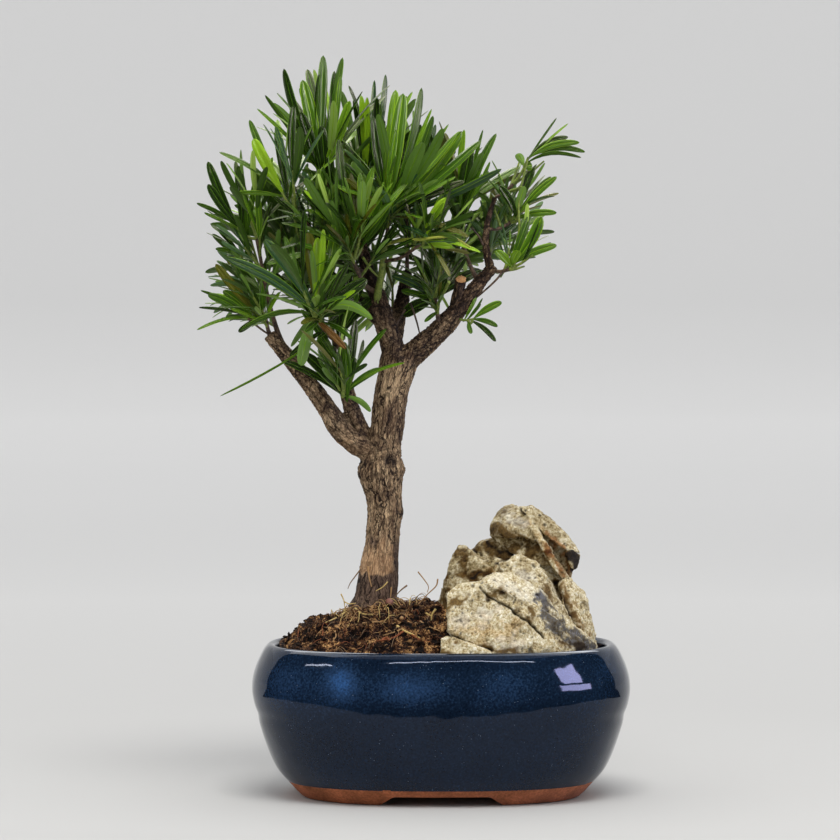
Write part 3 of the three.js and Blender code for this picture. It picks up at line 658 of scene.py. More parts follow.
# Roots that show from the front: tone, thickness in mm, depth or None where it lies on the soil, then its
# points across and up, in mm, as seen through the pot's middle plane.
shown_roots = (
    (3, 0.9, -12, (-42.4, 118.8), (-45.4, 114.8), (-48.0, 111.2), (-49.3, 108.2)),
    (0, 1.2, -14, (-38.6, 120.3), (-38.1, 115.0), (-36.7, 109.3)),
    (1, 0.8, -16, (-28.1, 112.0), (-30.7, 109.3), (-34.5, 107.1)),
    (0, 1.1, -17, (-26.2, 109.1), (-26.6, 103.7)),
    (1, 0.9, -14, (-52.9, 105.6), (-51.4, 102.2), (-50.7, 96.9)),
    (1, 0.8, -15, (-51.1, 101.4), (-48.5, 100.3), (-45.0, 100.7)),
    (0, 0.8, -8, (-12.2, 117.3), (-9.2, 113.5), (-6.6, 109.3), (-7.3, 106.3)),
    (0, 1.0, -9, (-1.7, 113.5), (-2.4, 110.1), (-6.9, 105.6), (-13.4, 98.5)),
    (3, 1.1, -13, (-17.9, 110.1), (-20.9, 107.8), (-24.5, 104.0)),
    (1, 1.3, -32, (-2.8, 97.6), (-4.7, 94.6), (-5.2, 87.2)),
    (1, 1.1, -32, (-8.1, 95.5), (-4.9, 93.8)),
    (1, 1.2, None, (-51.1, 95.0), (-55.6, 92.4), (-60.9, 90.1)),
    (1, 1.1, None, (-45.4, 97.6), (-41.3, 94.6), (-36.0, 94.2)),
    (0, 1.0, None, (-41.3, 89.7), (-35.2, 90.5), (-29.2, 90.1)),
    (0, 0.9, None, (-53.7, 89.0), (-56.0, 85.6), (-55.6, 82.6), (-57.5, 79.9)),
    (0, 0.9, None, (-56.7, 81.8), (-55.4, 79.9)),
    (0, 0.8, None, (-62.4, 86.7), (-64.6, 84.8), (-67.3, 80.9)),
    (1, 1.3, None, (-23.2, 88.2), (-19.4, 85.6), (-14.1, 83.3), (-11.1, 81.8)),
    (2, 1.1, None, (-19.8, 85.4), (-25.4, 82.0), (-34.0, 80.2)),
    (2, 1.0, None, (-15.6, 83.8), (-11.1, 81.0), (-5.8, 79.9)),
    (0, 0.9, None, (-20.1, 87.1), (-25.4, 84.8), (-30.7, 83.3)),
    (2, 1.4, None, (-31.5, 80.0), (-29.9, 81.7), (-28.4, 82.0), (-27.3, 80.5)),
    (0, 0.8, None, (-11.1, 90.9), (-5.8, 87.8), (-0.5, 85.6)),
)
ROOT_SIDES = 6
root_corners, root_faces, root_tones = [], [], []


def add_root(tone, thick, points, rings):
    """One root along a smooth curve, thinner at its far end."""
    before = len(root_faces)
    route = [curve_point(points, step / rings) for step in range(rings + 1)]
    radii = [thick / 2 * MM * (1 - 0.55 * step / rings) for step in range(rings + 1)]
    add_tube(root_corners, root_faces, route, radii, ROOT_SIDES)
    root_tones.extend([tone] * (len(root_faces) - before))


for tone, thick, depth, *points in shown_roots:
    if depth is None:
        route = [seen_at(x, z) + Vector((0, 0, thick * 0.3 * MM)) for x, z in points]
    else:
        route = [at_depth(x, z, depth) for x, z in points]
    add_root(tone, thick, route, 12)

# Threads lie all over the mound, and a tangle of longer ones round the trunk, at these distances from it in
# mm. Each kind: how many, the least and the most of thickness, length and lift in mm, and the tones that it
# draws from.
TANGLE_REACH = (13, 23)
THREADS = 760
TANGLE = 170
thread_spans = ((0.2, 0.5), (3, 9), (0.1, 1.6))
tangle_spans = ((0.28, 0.6), (6, 14), (0.4, 3.2))
thread_tones = (0, 2, 3, 4, 4, 4)
tangle_tones = (0, 0, 1, 3, 4)
MOST_BOW = 1.7
for number in range(THREADS + TANGLE):
    around = rough.random() * 2 * math.pi
    if number < THREADS:
        spans, dyes = thread_spans, thread_tones
        ring = math.sqrt(rough.random()) * 0.97
        x, y = (part * ring for part in oval_point(around, SOIL_INSET + 2))
    else:
        spans, dyes = tangle_spans, tangle_tones
        away = rough.uniform(*TANGLE_REACH) * MM
        x, y = TRUNK_X * MM + math.cos(around) * away, math.sin(around) * away
    thick, length, lift = (rough.uniform(*span) for span in spans)
    course = rough.random() * 2 * math.pi
    bow = rough.uniform(-MOST_BOW, MOST_BOW)
    points = []
    for step in range(4):
        course += bow * rough.random()
        x += math.cos(course) * length / 3 * MM
        y += math.sin(course) * length / 3 * MM
        top = soil_below(x, y)
        if top is None or top.z < (SOIL_RIM - 8) * MM:
            break
        points.append(top + Vector((0, 0, (lift if step in (1, 2) else -0.3) * MM)))
    if len(points) == 4:
        add_root(rough.choice(dyes), thick, points, 7)
roots = new_piece("fine_roots", root_corners, root_faces, root_looks, root_tones)
only(roots)
bpy.ops.object.shade_smooth_by_angle(angle=math.radians(60))
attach(roots, "root")

# Two small things lie in the tangle: a reddish pebble and a tan seed.
for name, x, z, size, colour in (
    ("red_pebble", -27.3, 100.7, 2.1, "8a5a4c"),
    ("tan_seed", -20.7, 92.4, 1.1, "b08a5c"),
):
    bpy.ops.mesh.primitive_ico_sphere_add(subdivisions=4, radius=size * MM, location=(0, 0, 0))
    bead = bpy.context.object
    bead.name = name
    middle = seen_at(x, z) + Vector((0, -1.5 * size * MM, 0.3 * size * MM))
    for corner in bead.data.vertices:
        corner.co = middle + corner.co * (1 + 0.14 * noise.noise(corner.co * 500 + middle * 999))
    bpy.ops.object.shade_smooth()
    bead.data.materials.append(gritty(name + "_skin", colour, 0.7, 3.0, 0.7, 0.2, Roughness=0.6))
    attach(bead, "root")

# Rock
# Weathered limestone set upright in the peat: a pale slab in front with a long crack, brown-grey ledges
# behind it, and a leaning roof of stone over a rusty hollow. It split along beds, and frost wore its edges.
# Sizes and heights in mm
GRAIN = 0.7
ROCK_FOOT = 66
# Corners of a block below this height are carried down to the foot of the rock, in the soil.
BURIED_BELOW = 92
# Behind its front a block keeps its size for a while, then rounds off to a back that is uneven by a few mm:
# share of the way to the back and size there.
BACK_RINGS = ((0.6, 0.97), (0.88, 0.86), (1, 0.62))
BACK_UNEVEN = 3
# Chips: size in mm, their depth on the front and how much deeper they are at the back
CHIPS = ((11, 0.1, 0.12), (4.5, 0.12, 0.06))
LEDGE_DEPTH = 1.6
PIT_DEPTH = 1.6
# The blocks that each piece split into: how deep the block's back lies, then its front corners, given across,
# up and deep as seen from the front, in mm.
rock_blocks = {
    "rock_front": (
        (-34, (3, 106, -50), (4, 92, -57), (5, 76, -60), (30, 74, -61), (60, 75, -52), (77, 78, -37),
         (62, 92, -45), (50, 100, -50), (40, 105.5, -53), (22, 111.5, -53), (9, 110.5, -49)),
        (-26, (21, 112.2, -51), (25, 114.4, -49), (30, 116.2, -46), (36.5, 116.7, -44), (44, 113.7, -42),
         (51, 109, -41), (55, 104.5, -39), (62, 96, -37), (50, 98, -50), (38, 104, -56), (24, 110.5, -55)),
        (-18, (54, 104, -40), (61, 97, -37), (67, 89.5, -33), (73, 83.5, -29), (82, 78.8, -23),
         (70, 76, -36), (58, 87, -45), (52, 99, -46)),
    ),
    "rock_middle": (
        (-8, (30, 122, -22), (41, 124, -26), (50, 123.3, -26), (54.5, 118.5, -27), (58, 111, -28),
         (61, 105, -29), (66, 96, -28), (71, 87.5, -27), (75, 80, -26), (40, 106, -36), (52, 102, -38),
         (60, 88, -36)),
        (-15, (35.5, 122, -26), (37.5, 125.4, -25), (40, 126.6, -25), (43.5, 126.4, -25), (47, 124, -26),
         (48, 120, -28), (38, 118, -29)),
    ),
    "rock_right": (
        (6, (68.3, 113.8, -18), (72, 110, -17), (76.8, 105, -15), (77.4, 100, -15), (78.2, 96, -14),
         (80, 88, -13), (83, 78, -12), (77, 77, -22), (74, 84, -24), (67.5, 96, -26), (63, 105, -26),
         (61.5, 110, -23), (64.5, 113, -20)),
        (4, (55, 118, -12), (66, 112, -10), (76, 80, -10), (58, 80, -12)),
        (8, (50, 124, -7), (58, 121, -8), (66, 115, -9), (66, 104, -11), (50, 106, -12)),
    ),
    "rock_shoulder": (
        (16, (-1, 100, -4), (1.5, 112, -6), (4.2, 121.5, -6), (6, 126.5, -4), (9, 131.6, 0),
         (12.5, 131.8, 0), (16, 128.5, -6), (20, 124.5, -11), (24, 121, -13), (30, 116, -16), (28, 96, -19),
         (8, 98, -16), (-0.5, 78, -8), (30, 78, -14)),
        (19, (15, 127, 2), (20, 133.4, 5), (24, 134.2, 4), (27.5, 135.2, 2), (33, 131.4, 0),
         (38.5, 127.8, -3), (39.5, 123, -5), (30, 121, -5), (21, 123.5, -1)),
        (4, (29, 121.6, -12), (34, 122.8, -12), (39, 124.3, -12), (45, 121, -15), (47, 110, -19),
         (27, 106, -18)),
        (8, (20, 124, -7), (30, 124, -8), (38, 122, -9), (38, 110, -12), (20, 110, -12)),
    ),
    "rock_head": (
        (17, (25.8, 136, 2), (26, 141.5, 1), (27.5, 145.5, 1), (30, 149, 2), (34, 152, 2), (38, 152.8, 2),
         (41.5, 150.8, 0), (30, 140, -9), (36, 146, -8), (42, 144.5, -9), (46.5, 140, -11), (45, 135.8, -11),
         (37, 135, -10), (29, 136, -6)),
        (16, (27, 135.2, 2), (36, 135.6, -3), (45, 137, -5), (50, 136, -7), (55, 129, -10), (58.5, 121, -14),
         (50, 121, -13), (40, 126, -8), (33, 130.5, -3)),
        (14, (40.5, 151.6, -2), (44, 151, -4), (48.2, 152, -5), (51, 150.2, -5), (59, 144.6, -6),
         (64, 139.6, -7), (68, 135.6, -7), (72, 130, -7), (73.8, 126.6, -6), (66, 129, -10),
         (58, 134.5, -10), (53.5, 139, -10), (48, 144, -10), (44, 148, -9)),
        (9, (40, 150.5, -3), (46.5, 149, -6), (48.5, 144, -10.5), (50.5, 139, -12.5), (52, 133, -13),
         (45, 134, -11.5), (40, 140, -9.5), (39, 147, -6)),
        (13, (38, 150.5, 1), (45, 149.6, 0), (54, 146, -1), (60, 140, -2), (56, 131, -5), (40, 133, -6)),
        (6, (46.6, 144.8, -10), (48.6, 143.2, -11), (52.9, 137, -14), (58.3, 126.5, -16), (63.4, 119, -18),
         (68.5, 113, -18), (66, 112, -19), (60.4, 118, -19), (55.4, 125.5, -17), (50.8, 135, -14),
         (46.8, 141, -12)),
    ),
    "rock_overhang": (
        (12, (65.6, 128.6, -9), (69, 128.8, -9.5), (73.9, 126.4, -7), (73.5, 122.5, -6), (71, 117.6, -6),
         (69, 119, -7), (67.5, 122, -8)),
        (13, (52, 140, -1), (66, 129.5, -1), (70, 119, 0), (69, 113, -2), (58, 121, -2), (54, 131, -1)),
    ),
    "rock_pebble": (
        (-50, (-0.2, 81.5, -57), (2.6, 83.9, -56), (7, 82.6, -58), (10.5, 80.8, -59), (19, 77, -61),
         (27, 74.6, -62), (12, 73.5, -62), (0, 75.5, -60)),
    ),
}
# Each crack: depth and half width in mm, then its run across and up on the front in mm
cracks = {
    "rock_front": (
        (2.2, 0.4, (19.7, 113.2), (23.5, 108.7), (29, 105.3), (34.2, 102.8), (39.3, 98), (44.4, 95.1),
         (53, 86.5)),
        (3.2, 0.8, (-2, 90), (0, 89.1), (8.5, 87), (11.9, 84.5), (18.6, 82.4), (25.6, 81)),
        (0.8, 0.4, (37, 104.5), (38, 107), (37, 109)), (1.6, 1.0, (24.2, 106.2), (24.6, 106.2)),
        (1.5, 0.9, (31, 110.6), (31.3, 110.6)), (1.2, 0.8, (37, 100), (38.5, 99)),
        (1, 0.9, (49, 108.6), (50, 108.4)),
    ),
    "rock_right": ((2.2, 1.5, (60.5, 112), (64, 104), (67, 97), (71, 89), (74, 83)),),
    "rock_middle": ((1.6, 1.6, (55, 122), (59, 114), (61.5, 108)),),
    "rock_head": ((0.7, 0.7, (41, 152.5), (43.5, 148)),),
}
# Each mark: what colours it, its half width in mm, then its run on the front. Most are stains; the near black
# ones in crevices and under the leaning roof are painted shade.
stains = {
    "rock_front": (
        # A darker blue grey band down the right of the slab
        ("slate", 5.5, (52, 106), (55, 99), (60, 93), (68, 85), (84, 78)),
        ("moss", 2.2, (25, 109), (33, 111)), ("moss", 2, (41, 105), (48, 98)),
        ("moss", 2.8, (4, 103), (15, 108)), ("moss", 2, (60, 84), (74, 80)),
        ("moss", 2, (37, 103), (46, 95)), ("moss", 1.5, (8, 84), (40, 80)),
        ("bleach", 5, (30, 115), (44, 112), (50, 106)), ("bleach", 6, (24, 99), (10, 97)),
        ("bleach", 4, (27, 84), (40, 84)), ("ochre", 9, (12, 91), (34, 89)),
    ),
    "rock_overhang": (
        # Painted shade under the leaning roof
        ("char", 3.6, (68.5, 126), (71, 123), (71.5, 119)),
        ("rust", 5, (55, 137), (62, 131), (67, 124), (68, 116)),
    ),
    "rock_head": (
        ("rust", 1.0, (55, 139), (60, 132.5), (65, 129)),
        ("rust", 2.6, (61, 134), (64, 127), (66, 120), (69, 113)), ("moss", 5.5, (27, 139), (38, 137)),
        ("moss", 6, (32, 130), (48, 131)), ("moss", 4, (24, 146), (30, 151)),
        ("bleach", 4, (34, 147), (42, 143)), ("ochre", 3, (47, 143), (60, 122)),
        ("rust", 2.2, (55, 132), (60, 123), (64, 117)), ("moss", 5, (45, 134), (52, 126)),
        # Painted shade in the crevice under the roof
        ("hollow", 1.0, (59, 133), (62, 128), (65, 122)),
    ),
    "rock_shoulder": (
        ("moss", 5, (9, 129), (15, 122)), ("moss", 6, (20, 132), (36, 126)),
        ("moss", 5, (8, 117), (26, 115)), ("moss", 4, (-1, 112), (4, 96)), ("ochre", 6, (8, 110), (26, 118)),
        # Painted shade in the crevices between the ledges
        ("moss", 4, (12, 117), (20, 112)), ("hollow", 0.6, (17, 130), (20, 127), (24, 124.5)),
        ("hollow", 0.9, (24, 123.5), (30, 121.8), (38.5, 124.5)),
        ("hollow", 0.9, (24, 133), (31, 129), (38, 127)), ("hollow", 0.4, (12, 114), (22, 117)),
    ),
    "rock_middle": (("moss", 4, (52, 112), (58, 100)), ("bleach", 3, (40, 118), (48, 117))),
    "rock_right": (("ochre", 5, (62, 108), (74, 84)), ("moss", 2.5, (62, 112), (78, 78))),
    "rock_pebble": (("moss", 2, (0, 80), (12, 77)),),
}
# How olive and dark each piece has weathered
weathering = {
    "rock_front": 0.0, "rock_middle": 0.24, "rock_right": -0.1, "rock_shoulder": 0.58,
    "rock_head": 0.5, "rock_overhang": 0.45, "rock_pebble": 0.0,
}


def run_distance(places, run):
    """Distance in mm of many points, given across and up, from a run of straight stretches."""
    nearest = np.full(len(places), 1e9)
    for start, stop in zip(run, run[1:]):
        start, along = np.array(start), np.array(stop) - np.array(start)
        share = np.clip((places - start) @ along / (along @ along), 0, 1)
        nearest = np.minimum(nearest, np.linalg.norm(places - start - share[:, None] * along, axis=1))
    return nearest


def fuse(piece, grain, easings):
    """Makes the parts of a piece one skin of even grain, in mm, and eases its edges a number of times."""
    only(piece)
    skin = piece.modifiers.new("one_skin", "REMESH")
    skin.mode = "VOXEL"
    skin.voxel_size = grain * MM
    eased = piece.modifiers.new("eased", "SMOOTH")
    eased.factor = 0.5
    eased.iterations = easings
    for modifier in (skin.name, eased.name):
        bpy.ops.object.modifier_apply(modifier=modifier)


def skin_of(piece):
    """The corners of a piece and its normals there, as two arrays."""
    read = []
    for layer in ("co", "normal"):
        values = np.empty(len(piece.data.vertices) * 3)
        piece.data.vertices.foreach_get(layer, values)
        read.append(values.reshape(-1, 3))
    return read


def give_marks(piece, marks):
    """Stores marks, each with a value for every corner of a piece, where its finish reads them."""
    for mark, values in marks.items():
        piece.data.attributes.new(mark, "FLOAT", "POINT").data.foreach_set("value", values)


# Limestone: lime mud and shell grit turned to stone, matt and finely pitted, cream where it is fresh and
# olive to brown where algae and soil have stained it. Painted shade darkens its pits, cracks and crevices.
limestone, tree, shader = finish("weathered_limestone", Roughness=0.93, Specular_IOR_Level=0.25)
place = add(tree, "TexCoord").outputs["Object"]
ROCK_MARKS = ("hollow", "slate", "rust", "char", "moss", "bleach", "ochre")
marks_read = {name: add(tree, "Attribute", attribute_name=name).outputs["Fac"] for name in (*ROCK_MARKS, "weather")}
broad, coarse, grit = (
    add(tree, "TexNoise", {"Vector": place, "Scale": 1 / (size * MM), "Detail": detail, "Roughness": broken})
    for size, detail, broken in ((11, 5.0, 0.65), (3.4, 7.0, 0.8), (1.05, 2.0, 0.7))
)
shared = add(tree, "Math", {0: grit, 1: 0.7, 2: -0.27}, operation="MULTIPLY_ADD")
fine = add(tree, "Math", {0: coarse, 1: 0.84, 2: shared}, operation="MULTIPLY_ADD")
cream = add(tree, "ValToRGB", {"Fac": fine}, (
    (0.3, "6f5a38"), (0.7, "fbf7ea"), (0.41, "b09c72"), (0.5, "cdbf9a"), (0.6, "e4dcc4"),
))
olive = add(tree, "ValToRGB", {"Fac": fine}, (
    (0.3, "2d210f"), (0.72, "c2b592"), (0.42, "5f4d2d"), (0.52, "85744e"), (0.62, "a3946c"),
))
patches = {"Value": broad, "From Min": 0.36, "From Max": 0.68, "To Min": -0.3, "To Max": 0.6}
patchy = add(tree, "MapRange", patches)
# The weather mark also brings painted shade in the stone's hollows and painted light on its corners.
aged_and_shaded = add(tree, "Math", {0: patchy, 1: marks_read["weather"]}, operation="ADD", use_clamp=True)
stone = add(tree, "MixRGB", {"Fac": aged_and_shaded, "Color1": cream, "Color2": olive})
# The last two colours are painted shade: near black under the leaning roof and in pits, cracks and crevices.
for name, colour, blend in (
    ("ochre", "ead2ac", "MULTIPLY"), ("bleach", "f1efe6", "SCREEN"), ("moss", "8a7550", "MULTIPLY"),
    ("slate", "75788a", "MULTIPLY"), ("rust", "b8834a", "MULTIPLY"), ("char", "2b2623", "MIX"),
    ("hollow", "1e150d", "MIX"),
):
    uneven = add(tree, "Math", {0: fine, 1: 0.5}, operation="ADD")
    ragged = add(tree, "Math", {0: marks_read[name], 1: uneven}, operation="MULTIPLY", use_clamp=True)
    layers = {"Fac": ragged, "Color1": stone, "Color2": linear(colour)}
    stone = add(tree, "MixRGB", layers, blend_type=blend)
pitted = add(tree, "Bump", {"Strength": 0.9, "Distance": 0.5 * MM, "Height": fine})
feed(shader, {"Base Color": stone, "Normal": pitted})

for node, weather in weathering.items():
    for back, *block in rock_blocks[node]:
        front = [(at_depth(x, z, y) - CENTRE) / MM for x, z, y in block]
        middle = sum(front, Vector()) / len(front)
        behind = []
        for p in front:
            for share, taper in BACK_RINGS:
                deep = mix(p.y, back - BACK_UNEVEN / 2 + BACK_UNEVEN * noise.noise(p / 8), share)
                behind.append(Vector((mix(middle.x, p.x, taper), deep, mix(middle.z, p.z, taper))))
        if node not in ("rock_head", "rock_overhang"):
            behind += [Vector((p.x, p.y, ROCK_FOOT)) for p in front + behind if p.z < BURIED_BELOW]
        hull = new_piece("block", [CENTRE + p * MM for p in front + behind], [], [])
        only(hull)
        edit_all()
        bpy.ops.mesh.convex_hull()
        bpy.ops.object.mode_set(mode="OBJECT")
    bpy.ops.object.select_all(action="DESELECT")
    for block in [piece for piece in bpy.data.objects if piece.name.startswith("block")]:
        block.select_set(True)
        bpy.context.view_layer.objects.active = block
    bpy.ops.object.join()
    rock = bpy.context.object
    rock.name = "limestone_" + node.removeprefix("rock_")
    fuse(rock, GRAIN, 4)
    corners, normals = skin_of(rock)
    count = len(corners)
    seen = (corners[:, [0, 2]] - (POT_X, 0)) / MM
    # The runs are given on the front, so they fade out where the surface turns to the back.
    facing = np.clip(0.35 - normals[:, 1] * 1.6, 0, 1)
    marks = {name: np.zeros(count) for name in ROCK_MARKS}
    relief = np.zeros(count)
    for index, corner in enumerate(corners):
        spot = Vector(corner) / MM
        warped = spot + noise.noise_vector(spot / 6) * 2.2
        # Each cell of the stone broke along a plane of its own.
        turned = max(0.0, min(1.0, 0.3 + 1.2 * normals[index, 1]))
        for size, deep, deeper in CHIPS:
            middle = noise.voronoi(warped / size)[1][0] * size
            tilt = noise.noise_vector(middle / 3.3 + Vector((7, 3, 5)))
            chip = max(-size, min(size, (warped - middle).dot(tilt) * 1.6))
            relief[index] += (deep + deeper * turned) * chip
        ledge = noise.noise(Vector((warped.x / 17, warped.y / 17, (warped.z + 0.25 * warped.x) / 4.5)))
        relief[index] += turned * (LEDGE_DEPTH * ledge - 0.5)
        relief[index] += 0.45 * rough_noise(spot, 12, 3) + 0.3 * rough_noise(spot, 2.6, 3)
        pit = max(0.0, noise.noise(spot / 1.5) - 0.42) + max(0.0, noise.noise(spot / 3.1) - 0.5)
        relief[index] -= PIT_DEPTH * pit
        # Pits are darkened with painted shade.
        marks["hollow"][index] = min(0.8, 3 * pit)
    wander = np.array([noise.noise_vector(Vector(c) / MM / 4) for c in corners])[:, [0, 2]] * 0.9
    ragged = np.array([rough_noise(Vector(c) / MM, 5, 4) for c in corners])
    # Cracks are cut in and darkened with painted shade.
    for deep, half, *run in cracks.get(node, ()):
        near = run_distance(seen + wander, run)
        relief -= deep * np.exp(-((near / half) ** 2)) * facing
        marks["hollow"] = np.maximum(marks["hollow"], np.exp(-((near / half / 0.95) ** 2)) * facing)
    for mark, half, *run in stains.get(node, ()):
        near = run_distance(seen + wander * 2, run)
        soft = 0.8 if mark == "char" else half * (0.48 if mark == "slate" else 0.75)
        most = {"bleach": 0.3, "ochre": 0.6, "rust": 0.8}.get(mark, 1)
        patch = np.clip((half - near) / soft - 0.1 + 1.8 * ragged, 0, 1) * most
        marks[mark] = np.maximum(marks[mark], patch * facing)
    corners += normals * relief[:, None] * MM
    # Corners of stone that stand out are lighter, partly rubbed pale by wear and partly a painted highlight,
    # and those that lie deep are darker with their dirt and with painted shade.
    ends = np.empty(len(rock.data.edges) * 2, int)
    rock.data.edges.foreach_get("vertices", ends)
    ends = np.concatenate([ends.reshape(-1, 2), ends.reshape(-1, 2)[:, ::-1]])
    beside = np.bincount(ends[:, 0], minlength=count)
    sums = [np.bincount(ends[:, 0], corners[ends[:, 1], axis], count) for axis in range(3)]
    around = np.stack(sums, axis=1) / beside[:, None]
    hollowed = ((around - corners) * normals).sum(axis=1) / (GRAIN * MM)
    for _ in range(5):
        hollowed = (hollowed + np.bincount(ends[:, 0], hollowed[ends[:, 1]], count) / beside) / 2
    weathering_and_cavity_shade = weather + np.clip(hollowed * 4.5, -0.45, 0.6)
    # The weather mark holds each piece's weathering and this painted light and shade.
    give_marks(rock, {**marks, "weather": weathering_and_cavity_shade})
    rock.data.vertices.foreach_set("co", corners.ravel())
    rock.data.materials.append(limestone)
    bpy.ops.object.shade_smooth()
    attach(rock, "root")
    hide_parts(node)

# Trunk and boughs
# Living wood under thin fissured bark: the trunk with a flat cut in the soil, a knot at its lower fork, and
# boughs that were pruned back, some to a sawn face. Soil kept the foot dark, and a patch above it has peeled.
# Sizes and heights in mm, and how many places are measured at once
BARK_GRAIN = 0.52
TRUNK_CUT = 99
AT_ONCE = 4000
# Heights on the trunk in mm: where the bark has peeled, and where the foot and its right side are damp.
# Each pair runs from none to all of it.
PEEL_FOOT = (116, 117)
PEEL_TOP = (138, 124)
PEEL_SIDE = (-24, -26.5)
DAMP_TOP = (118.5, 115.5)
DAMP_SIDE_TOP = (139, 131)
SWOLLEN = 177
# Each limb: stations of x, y, z and radius in mm from the pot's centre, as in the solids
limbs = {
    "trunk": (
        (-35.5, 0, 92, 16), (-34, 0, 107, 11), (-31, 0, 134, 9), (-29.8, 0, 152, 9.2),
        (-31.5, 0, 171, 11.8), (-29, 0, 190, 8.8), (-26, 0, 213, 9), (-21.5, 0, 231, 10),
    ),
    "bough_left": (
        (-34, 0, 179, 6.8), (-51, -3, 191, 6.3), (-63.3, -6, 208.5, 4.9), (-77, -9, 226.5, 4.2),
        (-90.3, -12, 242.6, 3.6),
    ),
    "bough_left_upright": (
        (-42, -1, 190, 5), (-48.5, -5, 208, 4.2), (-51, -11, 224, 3.2), (-55.5, -20, 242, 2.2),
    ),
    "leader": (
        (-23, 0, 228, 7), (-28, 1, 243, 5.8), (-33, 3, 261, 4.6), (-39, 6, 277, 3.5), (-41.5, 9, 291, 2.4),
    ),
    "bough_right": (
        (-19, 0, 229, 7), (-9.5, 0, 237, 6.1), (2, 0, 247.5, 5.6), (14, 0, 262, 4.2), (27.5, 0, 279, 2.9),
    ),
    "stub_right": ((7.5, 0, 255, 3.4), (10.6, -2, 272, 2.7)),
    "riser_right": ((26, 0, 277, 2.3), (23.6, 1, 291, 1.8), (25.4, 2, 305, 1.5), (28.5, 2, 315, 1.2)),
    "green_stem": ((-33.5, 0, 262, 2.1), (-31.5, -5, 274, 1.8), (-29.5, -9, 292, 1.6)),
    "bough_back": ((-26, 2, 238, 5), (-22, 18, 255, 4.1), (-18, 32, 276, 2.7)),
    "bough_back_left": ((-31, 3, 250, 4.2), (-49, 17, 264, 3.3), (-66, 29, 278, 2.3)),
}
# How deep the cross rings are on each limb, in mm: old pruned wood is scaly, the trunk isn't
ring_depths = {"bough_right": 0.3, "leader": 0.2, "stub_right": 0.3, "bough_back": 0.2, "bough_left": 0.12}


def line_of(stations):
    """The middle line of a limb: its stations as vectors in mm."""
    return [Vector(station[:3]) for station in stations]


def radius_at(stations, share):
    """The radius of a limb in mm at a share of its run."""
    place = share * (len(stations) - 1)
    index = min(int(place), len(stations) - 2)
    return mix(stations[index][3], stations[index + 1][3], smooth(0, 1, place - index))


def add_limb(corners, faces, stations, sides, rings):
    """Adds a limb's tube to lists of corners and faces, in metres and in its place."""
    line = line_of(stations)
    shares = [step / rings for step in range(rings + 1)]
    route = [CENTRE + curve_point(line, share) * MM for share in shares]
    add_tube(corners, faces, route, [radius_at(stations, share) * MM for share in shares], sides)


class Skeleton:
    """Closely spaced points along the middle lines of limbs, with what bark and leaves ask of them."""

    def __init__(self, lines):
        self.points, self.radii, self.sides, self.ups, self.runs, self.owners = [], [], [], [], [], []
        for owner, stations in enumerate(lines):
            line = line_of(stations)
            side, up = square_to(heading(line, 0))
            run = owner * 37.0
            steps = 12 * len(stations)
            for step in range(steps + 1):
                share = step / steps
                point = curve_point(line, share)
                ahead = heading(line, share)
                side = (side - ahead * side.dot(ahead)).normalized()
                up = ahead.cross(side)
                run += (point - Vector(self.points[-1])).length if step else 0
                self.points.append(tuple(point))
                self.radii.append(radius_at(stations, share))
                self.sides.append(tuple(side))
                self.ups.append(tuple(up))
                self.runs.append(run)
                self.owners.append(owner)
        for name, values in list(vars(self).items()):
            setattr(self, name, np.array(values))

    def nearest(self, places):
        """For many places in mm: the index of the nearest point of the skeleton and the gap to its skin."""
        indexes = np.empty(len(places), int)
        gaps = np.empty(len(places))
        for first in range(0, len(places), AT_ONCE):
            part = slice(first, first + AT_ONCE)
            away = np.linalg.norm(places[part, None] - self.points, axis=2) - self.radii
            indexes[part], gaps[part] = away.argmin(axis=1), away.min(axis=1)
        return indexes, gaps


skeleton = Skeleton(limbs.values())

# Bark: corky dead cells over living wood, grey brown and matt, split lengthwise into plates about 2 mm wide
# with near black cracks between them.
bark, tree, shader = finish("fissured_bark", Roughness=0.9, Specular_IOR_Level=0.25)
BARK_MARKS = ("crack", "tone", "peel", "damp")
marks_read = {name: add(tree, "Attribute", attribute_name=name).outputs["Fac"] for name in BARK_MARKS}
grain_place = add(tree, "Attribute", attribute_name="grain").outputs["Vector"]
streaks, plates = (
    add(tree, "TexNoise", {
        "Vector": add(tree, "Mapping", {"Vector": grain_place, "Scale": (1, 1, squeeze)}),
        "Scale": 1 / size, "Detail": detail, "Roughness": broken,
    })
    for squeeze, size, detail, broken in ((0.25, 0.9, 5.0, 0.74), (0.4, 4.5, 2.0, 0.5))
)
lit = add(tree, "Math", {0: streaks, 1: marks_read["tone"]}, operation="ADD")
lit = add(tree, "Math", {0: plates, 1: 0.3, 2: lit}, operation="MULTIPLY_ADD")
wood = add(tree, "ValToRGB", {"Fac": lit}, (
    (0.42, "2b1f17"), (0.86, "cdb08c"), (0.54, "604a39"), (0.68, "947a5e"),
))
for name, dark, light in (
    ("peel", "7a5438", "dab58c"), ("damp", "352724", "8b7260"), ("crack", "150f0b", "2a1e16"),
):
    under = add(tree, "ValToRGB", {"Fac": streaks}, ((0.32, dark), (0.68, light)))
    wood = add(tree, "MixRGB", {"Fac": marks_read[name], "Color1": wood, "Color2": under})
